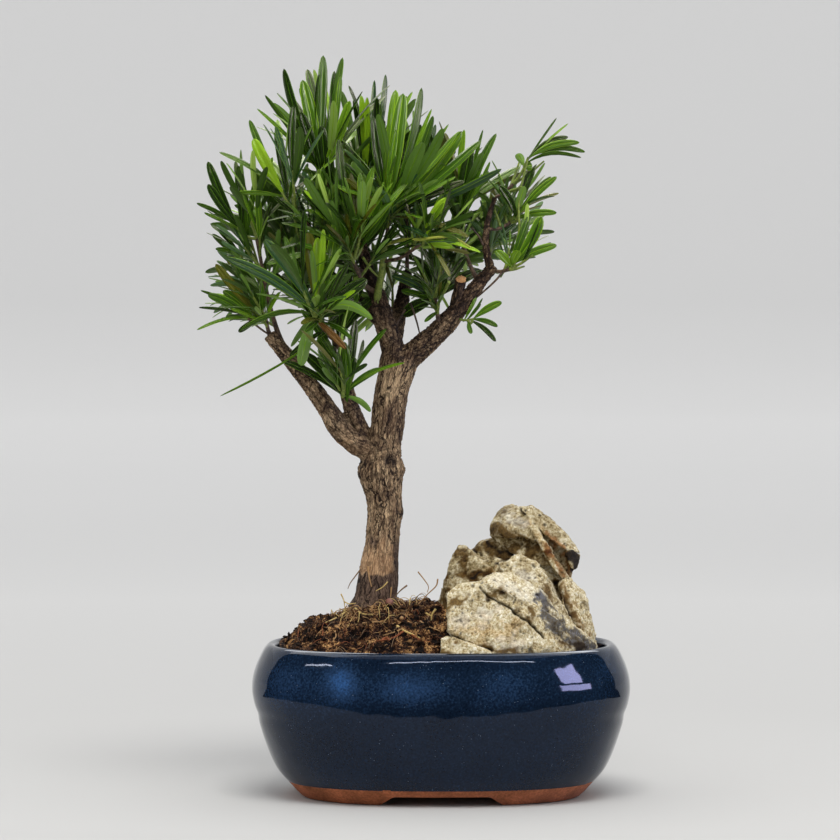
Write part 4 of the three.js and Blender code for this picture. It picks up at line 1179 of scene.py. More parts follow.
# Thin cracks part the bark into long cells: wide cracks, and hair cracks between them.
bends = add(tree, "TexNoise", {"Vector": grain_place, "Scale": 1 / 2.4, "Detail": 3.0}).outputs["Color"]
bent = add(tree, "VectorMath", {0: bends, 1: (2.2, 2.2, 5), 2: grain_place}, operation="MULTIPLY_ADD")
long_cells = add(tree, "Mapping", {"Vector": bent, "Scale": (1, 1, 0.14)})
crackle = 0.0
for size, edge, strength in ((3.4, 0.07, 0.95), (1.4, 0.13, 0.55)):
    cells = add(tree, "TexVoronoi", {"Vector": long_cells, "Scale": 1 / size}, feature="DISTANCE_TO_EDGE")
    gap = {"Value": cells, "From Min": edge * 0.3, "From Max": edge, "To Min": strength, "To Max": 0.0}
    crackle = add(tree, "Math", {0: add(tree, "MapRange", gap), 1: crackle}, operation="MAXIMUM")
healed = add(tree, "Math", {0: marks_read["peel"], 1: -0.55, 2: 1.0}, operation="MULTIPLY_ADD")
opened = add(tree, "Math", {0: crackle, 1: healed}, operation="MULTIPLY")
wood = add(tree, "MixRGB", {"Fac": opened, "Color1": wood, "Color2": linear("1d140f")})
raised = add(tree, "Math", {0: opened, 1: -0.9, 2: streaks}, operation="MULTIPLY_ADD")
ridges = add(tree, "Bump", {"Strength": 0.8, "Distance": 0.35 * MM, "Height": raised})
feed(shader, {"Base Color": wood, "Normal": ridges})

# Sawn wood: the bare end grain of an old cut, dried tan with fine pores.
sawn, tree, shader = finish("sawn_wood", Roughness=0.8)
place = add(tree, "TexCoord").outputs["Object"]
pores = add(tree, "TexNoise", {"Vector": place, "Scale": 1 / (0.6 * MM), "Detail": 3.0})
feed(shader, {"Base Color": add(tree, "ValToRGB", {"Fac": pores}, ((0.3, "965f31"), (0.7, "dbab72")))})

wood_corners, wood_faces = [], []
THIN = ("riser_right", "green_stem", "stub_right")
for name, stations in limbs.items():
    if name not in THIN:
        add_limb(wood_corners, wood_faces, stations, 24, 10 * len(stations))
# A web of wood closes the fork between the trunk and the upright bough.
add_limb(wood_corners, wood_faces, ((-36, 0, 179, 4), (-39, 0, 192.5, 2.4)), 24, 12)
timber = new_piece("trunk_and_boughs", wood_corners, wood_faces, [bark])
fuse(timber, BARK_GRAIN, 3)
edit_all()
bpy.ops.mesh.bisect(plane_co=(0, 0, TRUNK_CUT * MM), plane_no=(0, 0, 1), clear_inner=True, use_fill=True)
bpy.ops.object.mode_set(mode="OBJECT")


def spot_mark(x, z, middle_x, middle_z, half_width, half_height):
    """A soft oval mark of strength 1 at its middle, for a place in mm across and up."""
    return math.exp(-(((x - middle_x) / half_width) ** 2 + ((z - middle_z) / half_height) ** 2))


def bark_noise(x, y, z):
    """Noise of about -1 to 1 at a place."""
    return noise.noise(Vector((x, y, z)))


def weather_bark(piece, depth):
    """Gives a limb its fissures, rings and marks, a number of mm deep, and the attributes of its bark."""
    corners, normals = skin_of(piece)
    places = (corners - np.array(CENTRE)) / MM
    indexes, _ = skeleton.nearest(places)
    out = places - skeleton.points[indexes]
    sides, ups = skeleton.sides[indexes], skeleton.ups[indexes]
    across, upward = (out * sides).sum(axis=1), (out * ups).sum(axis=1)
    along = skeleton.runs[indexes] + (out * np.cross(sides, ups)).sum(axis=1)
    names = np.array(list(limbs))[skeleton.owners[indexes]]
    relief = np.zeros(len(corners))
    marks = {name: np.zeros(len(corners)) for name in BARK_MARKS}
    for i, name in enumerate(names):
        x, y, z = places[i]
        spot = Vector(places[i])
        u, v, s = across[i], upward[i], along[i]
        bend = noise.noise_vector(Vector((u, v, s)) / 6) * 0.9
        plate = abs(bark_noise((u + bend.x) / 2, (v + bend.y) / 2, s / 13))
        chip = abs(bark_noise((u + bend.y) / 0.9 + 31, (v + bend.x) / 0.9, s / 4.2))
        split = smooth(0.1, 0.0, plate) * smooth(-0.4, 0.0, bark_noise(u / 4, v / 4, s / 9))
        scale = smooth(0.13, 0.0, chip)
        old = 1.0
        tone = 0.14 * bark_noise(u / 5, v / 5, s / 14)
        tone += 0.16 * bark_noise((u + bend.x) / 1.1, (v + bend.y) / 1.1, s / (5 if name == "trunk" else 1.8))
        if name == "trunk":
            frayed = bark_noise(u / 2, v / 2, z / 9)
            ragged = 3 * noise.noise(Vector((u, v, 0)) / 4.5)
            peeled = smooth(*PEEL_FOOT, z + ragged) * smooth(*PEEL_TOP, z + 10 * frayed)
            peeled *= smooth(*PEEL_SIDE, x + 1.6 * bark_noise(0, 0, z / 3)) * smooth(-1, -3, y)
            damp = smooth(*DAMP_TOP, z + ragged)
            damp = max(damp, 0.85 * smooth(*DAMP_SIDE_TOP, z + 5 * frayed) * smooth(*PEEL_SIDE[::-1], x))
            damp = max(damp, 0.75 * spot_mark(x, z, -36.5, 133.5, 3.5, 2.6) * (1 + frayed))
            marks["peel"][i], marks["damp"][i] = 0.9 * peeled, damp * (1 - 0.8 * peeled)
            old = 1 - 0.8 * peeled - 0.5 * damp * (1 - peeled)
            tone += 0.055 - 0.055 * smooth(180, 188, z) * smooth(212, 205, z)
            # From 226 mm up, at the fork under the crown, the trunk is darkened with painted shade.
            tone += 0.055 * smooth(207, 211, z) * smooth(228, 222, z) - 0.14 * smooth(226, 231, z)
            knot = spot_mark(x, z, -27.5, 176, 2.4, 3) * smooth(2, -4, y)
            scar = spot_mark(x, z, -28, 212.5, 1.3, 3.2) * smooth(2, -4, y)
            slit = spot_mark(x, z - 0.35 * x, -41, 202.3, 5, 0.8) * smooth(2, -3, y)
            swirl = abs(bark_noise(x / 7, y / 7, (z - 0.3 * x) / 1.5))
            callus = swirl * math.exp(-(((z - SWOLLEN) / 9) ** 2))
            relief[i] += 1.3 * spot_mark(x, z, -19, 171, 3, 3) + 0.9 * spot_mark(x, z, -20, 149, 3, 4)
            elbow = 1.2 * spot_mark(x, z, -43, 170, 4, 5)
            relief[i] += elbow - 2.2 * knot - 0.8 * slit - 1.6 * callus + 0.5 * scar
            relief[i] += 0.5 * noise.noise(spot / 9)
            tone += 0.3 * scar
            folds = smooth(0.12, 0, callus) * 0.5 * math.exp(-(((z - SWOLLEN) / 7) ** 2))
            marks["crack"][i] = 0.9 * knot + 0.8 * slit + folds
        else:
            tone -= 0.03
            if name == "bough_left":
                tone += 0.04 + 0.1 * smooth(0.0, 0.3, noise.noise(Vector((u, v, s)) / 7))
                peeling = smooth(-0.1, 0.3, noise.noise(Vector((u, v, s)) / 9))
                marks["peel"][i] = 0.35 * peeling * smooth(232, 205, z)
                old = 0.8
            rings = ring_depths.get(name, 0.08)
            scaly = smooth(0.16, 0, abs(bark_noise(u / 3.5 + 9, v / 3.5, (s + bend.x) / 1.3)))
            relief[i] += rings * (0.5 - 2 * scaly) + 0.4 * noise.noise(spot / 5)
            marks["crack"][i] = 2 * rings * scaly
        relief[i] -= depth * old * (0.8 * split + 0.35 * scale - 0.28 * rough_noise(spot, 1.7, 2))
        marks["crack"][i] = min(1.0, marks["crack"][i] + old * (0.6 * split + 0.15 * scale))
        # Wood above 246 mm, under the crown, is darkened with painted shade.
        marks["tone"][i] = tone - 0.12 * smooth(246, 262, z)
    give_marks(piece, marks)
    # Plates are long on the trunk and short on the boughs.
    stretch = np.where(names == "trunk", 1, 2.2)
    grain = np.stack([across, upward, along * stretch], axis=1)
    piece.data.attributes.new("grain", "FLOAT_VECTOR", "POINT").data.foreach_set("vector", grain.ravel())
    piece.data.vertices.foreach_set("co", (corners + normals * relief[:, None] * MM).ravel())
    piece.data.update()


weather_bark(timber, 1.0)
bpy.ops.object.shade_smooth()
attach(timber, "root")
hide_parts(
    "trunk", "bough_left", "bough_left_upright", "leader", "bough_right", "bough_back",
    "bough_back_left",
)

# The stub was sawn off aslant, and its face looks up and forward.
SAW_LEAN = (0.1, -0.62, 0.78)
stub_end = Vector(limbs["stub_right"][-1][:3])


def thin_limb(name, stations, sides, rings, materials):
    """A piece of one limb, made the active one."""
    corners, faces = [], []
    add_limb(corners, faces, stations, sides, rings)
    piece = new_piece(name, corners, faces, materials)
    only(piece)
    return piece


line = line_of(limbs["stub_right"])
beyond = line[-1] + heading(line, 1) * 4
stub = thin_limb("sawn_stub", (*limbs["stub_right"], (*beyond, 2.7)), 44, 44, [bark, sawn])
weather_bark(stub, 0.5)
edit_all()
bpy.ops.mesh.bisect(plane_co=CENTRE + stub_end * MM, plane_no=SAW_LEAN, clear_outer=True, use_fill=True)
bpy.ops.mesh.inset(thickness=0.35 * MM, depth=0.12 * MM)
bpy.ops.object.mode_set(mode="OBJECT")
for face in stub.data.polygons:
    face.material_index = int(face.normal.dot(Vector(SAW_LEAN).normalized()) > 0.9)
bpy.ops.object.shade_smooth_by_angle(angle=math.radians(50))
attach(stub, "root")
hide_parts("stub_right")

riser = thin_limb("riser", limbs["riser_right"], 14, 70, [bark])
weather_bark(riser, 0.4)
bpy.ops.object.shade_smooth()
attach(riser, "root")
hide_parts("riser_right")

# Twigs
# Young shoots of one to three years: green to yellow where their skin still works like a leaf, and brown
# where it has begun to cork over. Each mass has a stem from its limb, and shoots that fan out from its heart.
SHOOT_LENGTH = 21
SHOOT_RADIUS = 1.1
LEAVES_PER_SHOOT = 16
# A rosette whose foot is this far from its mass's heart, in mm, is joined to it by a twig of its own.
NEAR = 2
FAR = 34
GOLDEN_ANGLE = math.pi * (3 - math.sqrt(5))
# Each mass: name, limb, place along it, heart, lean, shoots, half angle of their fan in degrees and leaf
# length in mm
masses = (
    ("top_left", "leader", 0.84, (-61, -9, 325), (-0.05, -0.1, 1), 3, 22, 52),
    ("upper_left", "leader", 0.7, (-76, -21, 308), (-0.3, -0.15, 0.95), 2, 22, 46),
    ("top_middle", "leader", 1, (-41, 14, 318), (0.1, 0.1, 1), 3, 20, 46),
    ("top_front", "green_stem", 1, (-27, -14, 304), (0.25, -0.12, 1), 3, 22, 58),
    ("top_right", "bough_right", 0.86, (8, 8, 304), (0.1, 0.1, 1), 3, 24, 46),
    ("right_tip", "riser_right", 1, (38, 1, 322), (0.85, 0, 0.55), 1, 0, 34),
    ("right_upper", "riser_right", 0.5, (37, 5, 302), (0.3, 0.1, 1), 2, 22, 32),
    ("right_lower", "bough_right", 0.97, (36, -6, 277), (0.8, -0.1, 0.75), 2, 26, 28),
    ("right_under", "bough_right", 0.6, (14, -5, 250), (1, -0.2, 0.05), 1, 0, 17),
    ("middle_right", "bough_right", 0.45, (-3, -9, 262), (-0.3, -0.2, 0.8), 2, 30, 30),
    ("middle_front", "green_stem", 0.7, (-10, -18, 291), (0.9, -0.3, 0.45), 2, 22, 36),
    ("left_top", "bough_left", 0.86, (-97, -4, 293), (-0.1, -0.1, 1), 2, 20, 42),
    ("left_middle", "bough_left", 0.76, (-94, 10, 270), (-0.45, 0.25, 0.85), 2, 24, 40),
    ("left_lower", "bough_left", 0.99, (-92, -16, 252), (-0.75, -0.2, 0.6), 2, 28, 27),
    ("front_left", "bough_left_upright", 1, (-66, -34, 252), (-0.1, -0.55, 0.85), 2, 16, 48),
    ("front_low", "bough_left_upright", 0.45, (-51, -20, 211), (-0.1, -0.3, 1), 1, 0, 42),
    ("inner_left", "bough_left_upright", 0.94, (-74, 2, 262), (-0.1, 0, 1), 2, 18, 34),
    ("inner_front", "leader", 0.56, (-46, -28, 281), (-0.05, -0.35, 0.95), 3, 24, 44),
    ("front_right", "bough_right", 0.72, (4, -26, 270), (0.2, -0.55, 0.8), 2, 26, 38),
    ("back_left", "bough_back_left", 1, (-80, 32, 288), (-0.35, 0.35, 0.9), 3, 26, 44),
    ("back_left_low", "bough_back_left", 0.7, (-64, 36, 258), (-0.4, 0.75, 0.45), 2, 28, 36),
    ("back_middle", "bough_back_left", 0.5, (-48, 36, 292), (-0.05, 0.3, 0.95), 3, 24, 44),
    ("back_top", "bough_back", 1, (-18, 30, 306), (0.15, 0.2, 1), 3, 26, 46),
    ("back_right", "bough_back", 0.8, (2, 38, 280), (0.5, 0.5, 0.8), 3, 26, 38),
    ("back_low", "bough_back", 0.6, (-30, 38, 258), (-0.1, 0.9, 0.45), 2, 28, 34),
    ("right_back", "riser_right", 0.2, (27, 21, 288), (0.4, 0.6, 0.8), 2, 24, 36),
)
# Masses whose leaves are mostly given one by one below, with the share of the rule's leaves that they keep
thinned = {
    "top_left": 0.55, "upper_left": 0.45, "top_front": 0.45, "right_tip": 0.0, "right_upper": 0.35,
    "right_lower": 0.35, "right_under": 0.0, "left_top": 0.6, "left_lower": 0.4, "front_left": 0.4,
    "front_low": 0.4, "front_right": 0.0, "middle_right": 0.4,
}
# Thin twigs that show: look, thickness in mm, and their points across, deep and up in mm
bare_twigs = (
    (2, 1.8,
     ((-29, -9, 290), (-20, -24, 292), (-10, -34, 292), (-2, -36, 293), (6, -34, 293), (15, -26, 288))),
    (0, 1.5, ((-41, -22, 283), (-37, -16, 277), (-33, -6, 273))),
    (0, 1.8, ((31, -2, 273), (37, -4, 283), (41, -3, 296), (41, -2, 310), (43, -3, 324), (46, -3, 336))),
    (1, 1.3, ((22, -2, 290), (20, -5, 294), (16, -8, 299))),
    (1, 1.3, ((34, -4, 278), (29.5, -5, 272), (21.5, -3, 264.5), (16, 0, 260))),
    (1, 1.2, ((-16, 6, 259), (-13, 6, 250), (-11, 4, 242))),
    (1, 1.1, ((-19, 6, 256), (-23, 5, 249), (-26, 3, 243))),
    (0, 1.4, ((-42, -26, 292), (-44, -20, 286), (-47, -14, 281))),
    (0, 1.3, ((-77, -20, 306), (-75, -18, 296), (-72, -14, 287))),
    (1, 1.4, ((-101, -18, 251), (-95, -15, 246), (-88, -12, 241))),
    (0, 1.5, ((8, -1, 252), (11, -3.5, 250.4), (14, -5, 250.3), (17, -6, 251))),
)


def seeded(seed):
    """Random numbers from 0 to 1 that are the same on each run and in the solids."""
    state = seed & 0xFFFFFFFF

    def draw():
        nonlocal state
        state = (state + 0x6D2B79F5) & 0xFFFFFFFF
        n = ((state ^ (state >> 15)) * (1 | state)) & 0xFFFFFFFF
        n = ((n + (((n ^ (n >> 7)) * (61 | n)) & 0xFFFFFFFF)) & 0xFFFFFFFF) ^ n
        return (n ^ (n >> 14)) / 4294967296

    return draw


def leaf_places(line, leaf_length, draw):
    """The leaves of a shoot from foot to tip, which turn by the golden angle and close up round the tip."""
    places = []
    turn_start = draw() * 2 * math.pi
    for number in range(LEAVES_PER_SHOOT):
        share = (number + 0.5) / LEAVES_PER_SHOOT
        root = curve_point(line, mix(0.12, 0.98, share))
        forward = heading(line, share)
        side, up = square_to(forward)
        turn = turn_start + number * GOLDEN_ANGLE
        outward = side * math.cos(turn) + up * math.sin(turn)
        opening = math.radians(mix(54, 13, share**0.8) + 14 * (draw() - 0.5))
        direction = forward * math.cos(opening) + outward * math.sin(opening)
        face = forward * math.sin(opening) - outward * math.cos(opening)
        face = Quaternion(direction, 0.9 * (draw() - 0.5)) @ face
        length = leaf_length * mix(0.78, 1.05, draw()) * (1 - 0.12 * share**3)
        bend = mix(0.4, 0.05, share) * mix(0.3, 1.3, draw())
        places.append((root, direction, face, length, bend, share))
    return places


def grow_shoot(heart, direction, length, leaf, draw):
    """A shoot from its heart: its stations and its leaves."""
    middle = heart + direction * length * 0.5
    tip = heart + direction * length + Vector((0, 0, length * 0.08))
    stations = ((*heart, SHOOT_RADIUS * 1.1), (*middle, SHOOT_RADIUS), (*tip, SHOOT_RADIUS * 0.6))
    return stations, leaf_places(line_of(stations), leaf, draw)


def fan_out(lean, share, turn):
    """A direction that leans off a main one."""
    side, up = square_to(lean)
    return (lean + side * share * math.cos(turn) + up * share * math.sin(turn)).normalized()


stems, sprays = [], []
for index, (name, limb, along, heart, lean, shoots, spread, leaf) in enumerate(masses):
    draw = seeded(1000 + 37 * index)
    foot = curve_point(line_of(limbs[limb]), along)
    heart, lean = Vector(heart), Vector(lean).normalized()
    elbow = (foot + heart) / 2 - Vector((0, 0, (heart - foot).length * 0.1))
    foot_radius = mix(SHOOT_RADIUS, radius_at(limbs[limb], along), 0.22)
    stem = (
        (*foot, foot_radius), (*elbow, mix(foot_radius, SHOOT_RADIUS, 0.6)), (*heart, SHOOT_RADIUS * 1.1),
    )
    stems.append(stem)
    for number in range(shoots):
        turn = number * 2 * math.pi / shoots + draw() * 1.2
        fan = math.tan(math.radians(spread)) * mix(0.8, 1.15, draw())
        direction = fan_out(lean, fan, turn) if shoots > 1 else lean
        length = SHOOT_LENGTH * mix(0.85, 1.1, draw()) * min(1, leaf / 38)
        sprays.append((index, *grow_shoot(heart, direction, length, leaf, draw)))
    # Finer side shoots leave the stem below its heart and carry smaller leaves
    finer = seeded(5000 + 37 * index)
    stem_line = line_of(stem)
    for number in range(0 if leaf < 20 else 4):
        share = mix(0.5, 0.95, finer())
        start = curve_point(stem_line, share)
        direction = fan_out(lean, math.tan(math.radians(38)), finer() * 2 * math.pi)
        length = SHOOT_LENGTH * mix(0.5, 0.75, finer()) * min(1, leaf / 38)
        sprays.append((index, *grow_shoot(start, direction, length, leaf * 0.72, finer)))

# Twig skins: green and yellow while they are young, brown and corky later, with fine scars and a dull sheen.
twig_looks = []
for name, light, darker in (
    ("green_shoot", "87963f", "55682a"), ("corky_twig", "6d5745", "33261d"),
    ("yellow_shoot", "b0b447", "7f8a2c"),
):
    look, tree, shader = finish(name, Roughness=0.6, Specular_IOR_Level=0.35)
    place = add(tree, "TexCoord").outputs["Object"]
    skin = add(tree, "TexNoise", {"Vector": place, "Scale": 1 / (1.4 * MM), "Detail": 3.0})
    tone = add(tree, "ValToRGB", {"Fac": skin}, ((0.35, darker), (0.65, light)))
    scars = add(tree, "Bump", {"Strength": 0.6, "Distance": 0.2 * MM, "Height": skin})
    feed(shader, {"Base Color": tone, "Normal": scars})
    twig_looks.append(look)

# Rosettes that show clearly from the front: mass, foot across, deep and up in mm, then for each leaf where
# its tip is seen across and up, how far it comes nearer than the foot, its seen width, its tone and its bow
# to the right. A leaf with a width below zero shows its underside.
# Most leaves deep inside the crown take the deep tone, which paints their shade as well as their dark green.
rosettes = (
    ("top_left", (-65, -12, 328), (
        (-62, 390, -2, 5.5, "mid", 0), (-73, 377, 4, 6.9, "green", 0.02), (-83, 383, -4, 4.8, "deep", -0.03),
        (-52, 389, -6, 4.2, "mid", 0.02), (-48, 366, 8, 5.5, "fresh", 0.03), (-74, 360, 10, 6.2, "deep", 0),
        (-93, 369, -3, 3.2, "mid", 0.03), (-89, 365, -6, -4.8, "mid", 0.04), (-97, 362, -2, 2.1, "green", 0),
        (-63, 353, 6, 5.8, "deep", 0),
    )),
    ("upper_left", (-83, -22, 317), (
        (-101, 356, -2, 3.7, "mid", -0.03), (-99, 346, 4, 6.2, "bright", -0.02),
        (-117, 339, 0, 2.6, "mid", 0.05), (-110, 317, 2, 2.6, "green", 0.04), (-87, 351, -6, 4.2, "deep", 0),
        (-74, 340, 6, 3.7, "mid", 0),
    )),
    ("left_top", (-107, -6, 299), (
        (-123, 334, 0, 4.8, "deep", -0.03), (-123, 322, 3, 4.8, "deep", -0.03),
        (-107, 332, -3, 5.5, "deep", 0.02), (-129, 312, -3, 2.6, "mid", 0.05),
        (-125, 307, 3, 1.8, "green", 0), (-98, 324, 3, 3.2, "mid", 0),
    )),
    ("left_middle", (-106, 2, 285), (
        (-118, 299, 0, 2.6, "deep", 0), (-119, 288, 3, 2.6, "mid", 0.05), (-113, 281, 2, 4.2, "olive", 0),
        (-103, 309, -3, 3.2, "mid", 0),
    )),
    ("left_lower", (-99, -18, 251), (
        (-123, 264, 2, 4.8, "mid", 0.03), (-115, 266, -3, 4.8, "green", 0.04),
        (-127, 266, -6, 1.8, "mid", 0.05), (-128, 257, 0, 1.8, "deep", 0.04),
        (-129, 245, 4, 1.8, "green", 0.07), (-107, 244, 2, 3.2, "deep", 0),
        (-119, 280, 2, 4.8, "olive", -0.03), (-95, 270, -3, 2.6, "mid", 0),
    )),
    ("front_left", (-64, -34, 256), (
        (-70, 297, 4, 6.9, "olive", 0), (-65, 294, 8, 5.8, "bright", 0), (-55, 305, 0, 5.8, "green", 0.03),
        (-93, 293, 2, 6.3, "blue_green", 0.02), (-113, 283, 10, 5.8, "blue_green", 0.04),
        (-109, 281, 3, 4.2, "mid", 0.02), (-106, 245, 12, 3.2, "mid", 0.14),
        (-74, 226, 8, -6.3, "mid", 0.03), (-36, 251, 8, -5.3, "green", -0.2), (-50, 235, 4, 3.7, "brown", 0),
        (-39, 272, -4, 6.9, "deep", 0), (-42, 259, 0, 4.8, "deep", 0), (-79, 275, -4, 4.8, "deep", 0),
    )),
    ("front_left", (-57, -26, 245), (
        (-117, 210, 6, 1.3, "green", -0.03), (-80, 231, -2, 3.2, "deep", 0.03),
        (-46, 262, -4, 3.7, "deep", 0),
    )),
    ("inner_left", (-51, 2, 240), (
        (-57, 276, -4, 5.8, "deep", 0.03), (-48, 280, -2, 5.3, "deep", 0),
        (-41, 272, -4, 5.8, "deep", -0.03), (-36, 262, 0, 5.3, "deep", -0.04), (-44, 266, 4, 4.8, "mid", 0),
        (-52, 264, 5, 5.3, "deep", 0), (-62, 266, 0, 4.8, "deep", 0.04),
    )),
    ("front_low", (-52, -20, 213), (
        (-46, 231, 4, 6.9, "deep", 0), (-29, 246, 0, 2.6, "mid", -0.03), (-19, 228, 3, 1.8, "green", -0.06),
        (-32, 225, -2, 3.7, "mid", -0.04), (-37, 202, 2, -3.2, "mid", -0.1),
        (-84, 229, -4, 3.7, "deep", 0.04), (-72, 233, 2, 5.8, "deep", 0.02), (-56, 249, -3, 6.3, "deep", 0),
        (-45, 251, -6, 4.8, "deep", 0), (-65, 242, -6, 4.8, "mid", 0), (-51, 239, 6, 4.2, "mid", 0.03),
    )),
    ("top_front", (-28, -16, 306), (
        (-20, 370, 2, 7.8, "green", 0), (-24, 372, -6, 6.3, "fresh", 0), (-10, 373, -2, 4.2, "mid", 0.03),
        (11, 350, 4, 6.9, "green", 0.04), (21, 345, 6, 4.8, "mid", 0.04),
        (32, 330, 4, 4.2, "blue_green", 0.04), (-36, 358, 4, 4.8, "deep", -0.03),
        (-34, 368, -2, 4.8, "deep", -0.03), (-5, 362, -6, 2.1, "fresh", 0), (4, 354, -5, 2.1, "green", 0),
    )),
    ("inner_front", (-40, -26, 292), (
        (-40, 323, 2, 6.9, "deep", 0), (-32, 321, 0, 6.3, "mid", 0.02), (-54, 346, -6, 5.3, "deep", -0.06),
        (-55, 306, 4, 3.2, "olive", 0), (-71, 309, 6, 2.1, "fresh", 0.06), (-27, 311, 4, 3.7, "mid", 0.03),
    )),
    ("top_middle", (-40, 8, 322), (
        (-29, 380, -2, 3.7, "blue_green", 0.03), (-35, 377, -4, 3.2, "blue_green", 0),
        (-42, 369, 12, 3.7, "bright", 0), (-39, 368, 14, 3.7, "bright", 0), (-46, 367, 4, 3.2, "deep", 0),
        (-15, 371, -4, 3.2, "fresh", 0), (-30, 356, 6, 4.8, "deep", 0),
    )),
    ("top_right", (11, 2, 298), (
        (29, 349, -4, 4.2, "mid", -0.04), (22, 351, 2, 2.1, "mid", 0), (16, 341, 6, 6.9, "deep", -0.03),
        (26, 334, 0, 2.1, "green", 0), (3, 340, -4, 4.2, "mid", 0), (-2, 332, -2, 3.7, "deep", 0),
        (12, 351, -6, 3.2, "fresh", 0),
    )),
    ("right_tip", (46, -3, 336), (
        (76, 339, 0, 3.2, "mid", -0.1), (73, 344, 3, 3.7, "green", -0.08), (67, 347, -4, 3.7, "deep", -0.08),
        (61, 357, -6, 1.3, "mid", 0), (67, 354, -3, 1.3, "fresh", 0), (74, 336, 5, 2.4, "mid", -0.16),
        (40, 338, 0, -4.2, "green", 0.05), (48, 332, -2, 5.3, "green", 0),
    )),
    ("right_upper", (41, -2, 306), (
        (61, 326, 2, 3.7, "green", -0.03), (58, 326, -3, 3.2, "mid", -0.03),
        (49, 331, -2, 4.8, "deep", -0.04), (31, 321, 2, 4.8, "deep", 0.05), (30, 327, -2, 1.6, "mid", 0),
        (44, 321, 4, -4.2, "green", 0), (61, 307, 0, 3.7, "green", -0.05),
    )),
    ("right_lower", (39, -8, 281), (
        (53, 305, 4, 6.3, "green", 0.06), (61, 290, 2, 4.5, "green", -0.04),
        (41, 287, 6, 4.8, "fresh", -0.06), (29, 287, 4, 4.5, "fresh", 0.05), (47, 306, -4, 4.2, "mid", 0),
    )),
    ("right_under", (17, -6, 251), (
        (32, 260, 2, 4, "green", -0.03), (30, 247, 3, 2.9, "mid", -0.06), (29, 239, 0, 2.9, "deep", -0.06),
        (16, 243, 4, 2.6, "mid", 0.04), (21, 259, -4, 1.8, "mid", 0), (22, 262, -3, 1.2, "mid", 0.05),
        (19, 263, -4, 1.8, "green", 0),
    )),
    ("front_right", (-3, 6, 261), (
        (-26, 274, 2, 4.2, "blue_green", 0.05), (-21, 266, -4, 3.7, "mid", 0),
        (-20, 253, -2, 6.9, "deep", 0.05), (-12, 282, 0, 6.3, "deep", 0.03), (5, 281, 0, 5.3, "deep", -0.04),
        (-4, 284, -4, 5.8, "deep", 0), (21, 277, -6, 5.8, "deep", -0.03), (13, 284, -6, 4.8, "deep", 0),
        (-15, 274, -6, 5.3, "deep", 0),
    )),
    ("middle_front", (-9, -24, 292), (
        (3, 315, 2, 4.8, "bright", -0.06), (6, 289, 0, 3.2, "bright", 0.05),
        (21, 286, -3, 2.1, "bright", -0.06),
    )),
)
twig_corners, twig_faces, twig_tones = [], [], []


def add_twig(stations, sides, rings, tone):
    """One more twig for the mesh of twigs, with the number of its skin."""
    before = len(twig_faces)
    add_limb(twig_corners, twig_faces, stations, sides, rings)
    twig_tones.extend([tone] * (len(twig_faces) - before))


def slimmer(stations, share):
    """The stations of a limb with their radii cut to a share."""
    return [(*place, radius * share) for *place, radius in stations]


# The shoots of a mass that keeps none of the rule's leaves would stand bare, so they aren't drawn.
bare = {name for name, share in thinned.items() if share == 0 and name != "right_tip"}
for stem, (name, *_) in zip(stems, masses):
    if name not in bare:
        add_twig(slimmer(stem, 0.8), 9, 16, 1)
for index, stations, _ in sprays:
    if masses[index][0] not in bare:
        add_twig(slimmer(stations, 0.68), 7, 8, 0)
for tone, thick, points in bare_twigs:
    radii = [thick / 2 * (1 - 0.4 * step / (len(points) - 1)) for step in range(len(points))]
    add_twig([(*point, radius) for point, radius in zip(points, radii)], 8, 8 * len(points), tone)
hearts = {name: Vector(heart) for name, _, _, heart, *_ in masses}
for mass, foot, _ in rosettes:
    heart = hearts[mass]
    if NEAR < (Vector(foot) - heart).length < FAR:
        halfway = (Vector(foot) + heart) / 2 - Vector((0, 0, 2))
        ends = zip((heart, halfway, foot), (0.8, 0.75, 0.6))
        add_twig([(*place, SHOOT_RADIUS * share) for place, share in ends], 7, 10, 0)
twigs = new_piece("twigs", twig_corners, twig_faces, twig_looks, twig_tones)
only(twigs)
bpy.ops.object.shade_smooth_by_angle(angle=math.radians(60))
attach(twigs, "root")

green_stations = ((-32, 3, 252, 1.4), *limbs["green_stem"])
green_stem = thin_limb("green_stem_skin", green_stations, 14, 50, [twig_looks[0]])
bpy.ops.object.shade_smooth_by_angle(angle=math.radians(60))
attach(green_stem, "root")
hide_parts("green_stem")

# Leaves
# Strap-shaped evergreen leaves, thick and leathery, blunt at the tip, with a groove along the middle above
# and a rib below. They are dark above, paler below, and yellow green while they are young.
LEAF_SHAPE = 0.115
LEAF_THICKNESS = 0.5
LEAF_WIDEST = 0.6
LEAF_FOOT = 0.16
LEAF_SAG = 0.06
# A leaf that shows less width than this in mm is seen nearly edge on.
SLIVER = 2.5
WOOD_MARGIN = 0.5
# Across a leaf: place from edge to edge and height, as shares of its half width. The rib below closes it.
leaf_section = (
    (-1, 0.06), (-0.88, 0.14), (-0.5, 0.26), (-0.07, 0), (0.07, 0), (0.5, 0.26), (0.88, 0.14), (1, 0.06),
    (0.08, None), (-0.08, None),
)
# The edge strips take the midrib's tone as a painted highlight where the edges catch the light.
leaf_parts = ("rib_and_edge_highlight", "top", "top", "rib_and_edge_highlight", "top", "top", "rib_and_edge_highlight", "under", "rib_and_edge_highlight", "under")
leaf_shares = (0, 0.1, 0.22, 0.36, 0.5, 0.64, 0.76, 0.86, 0.93, 0.975)
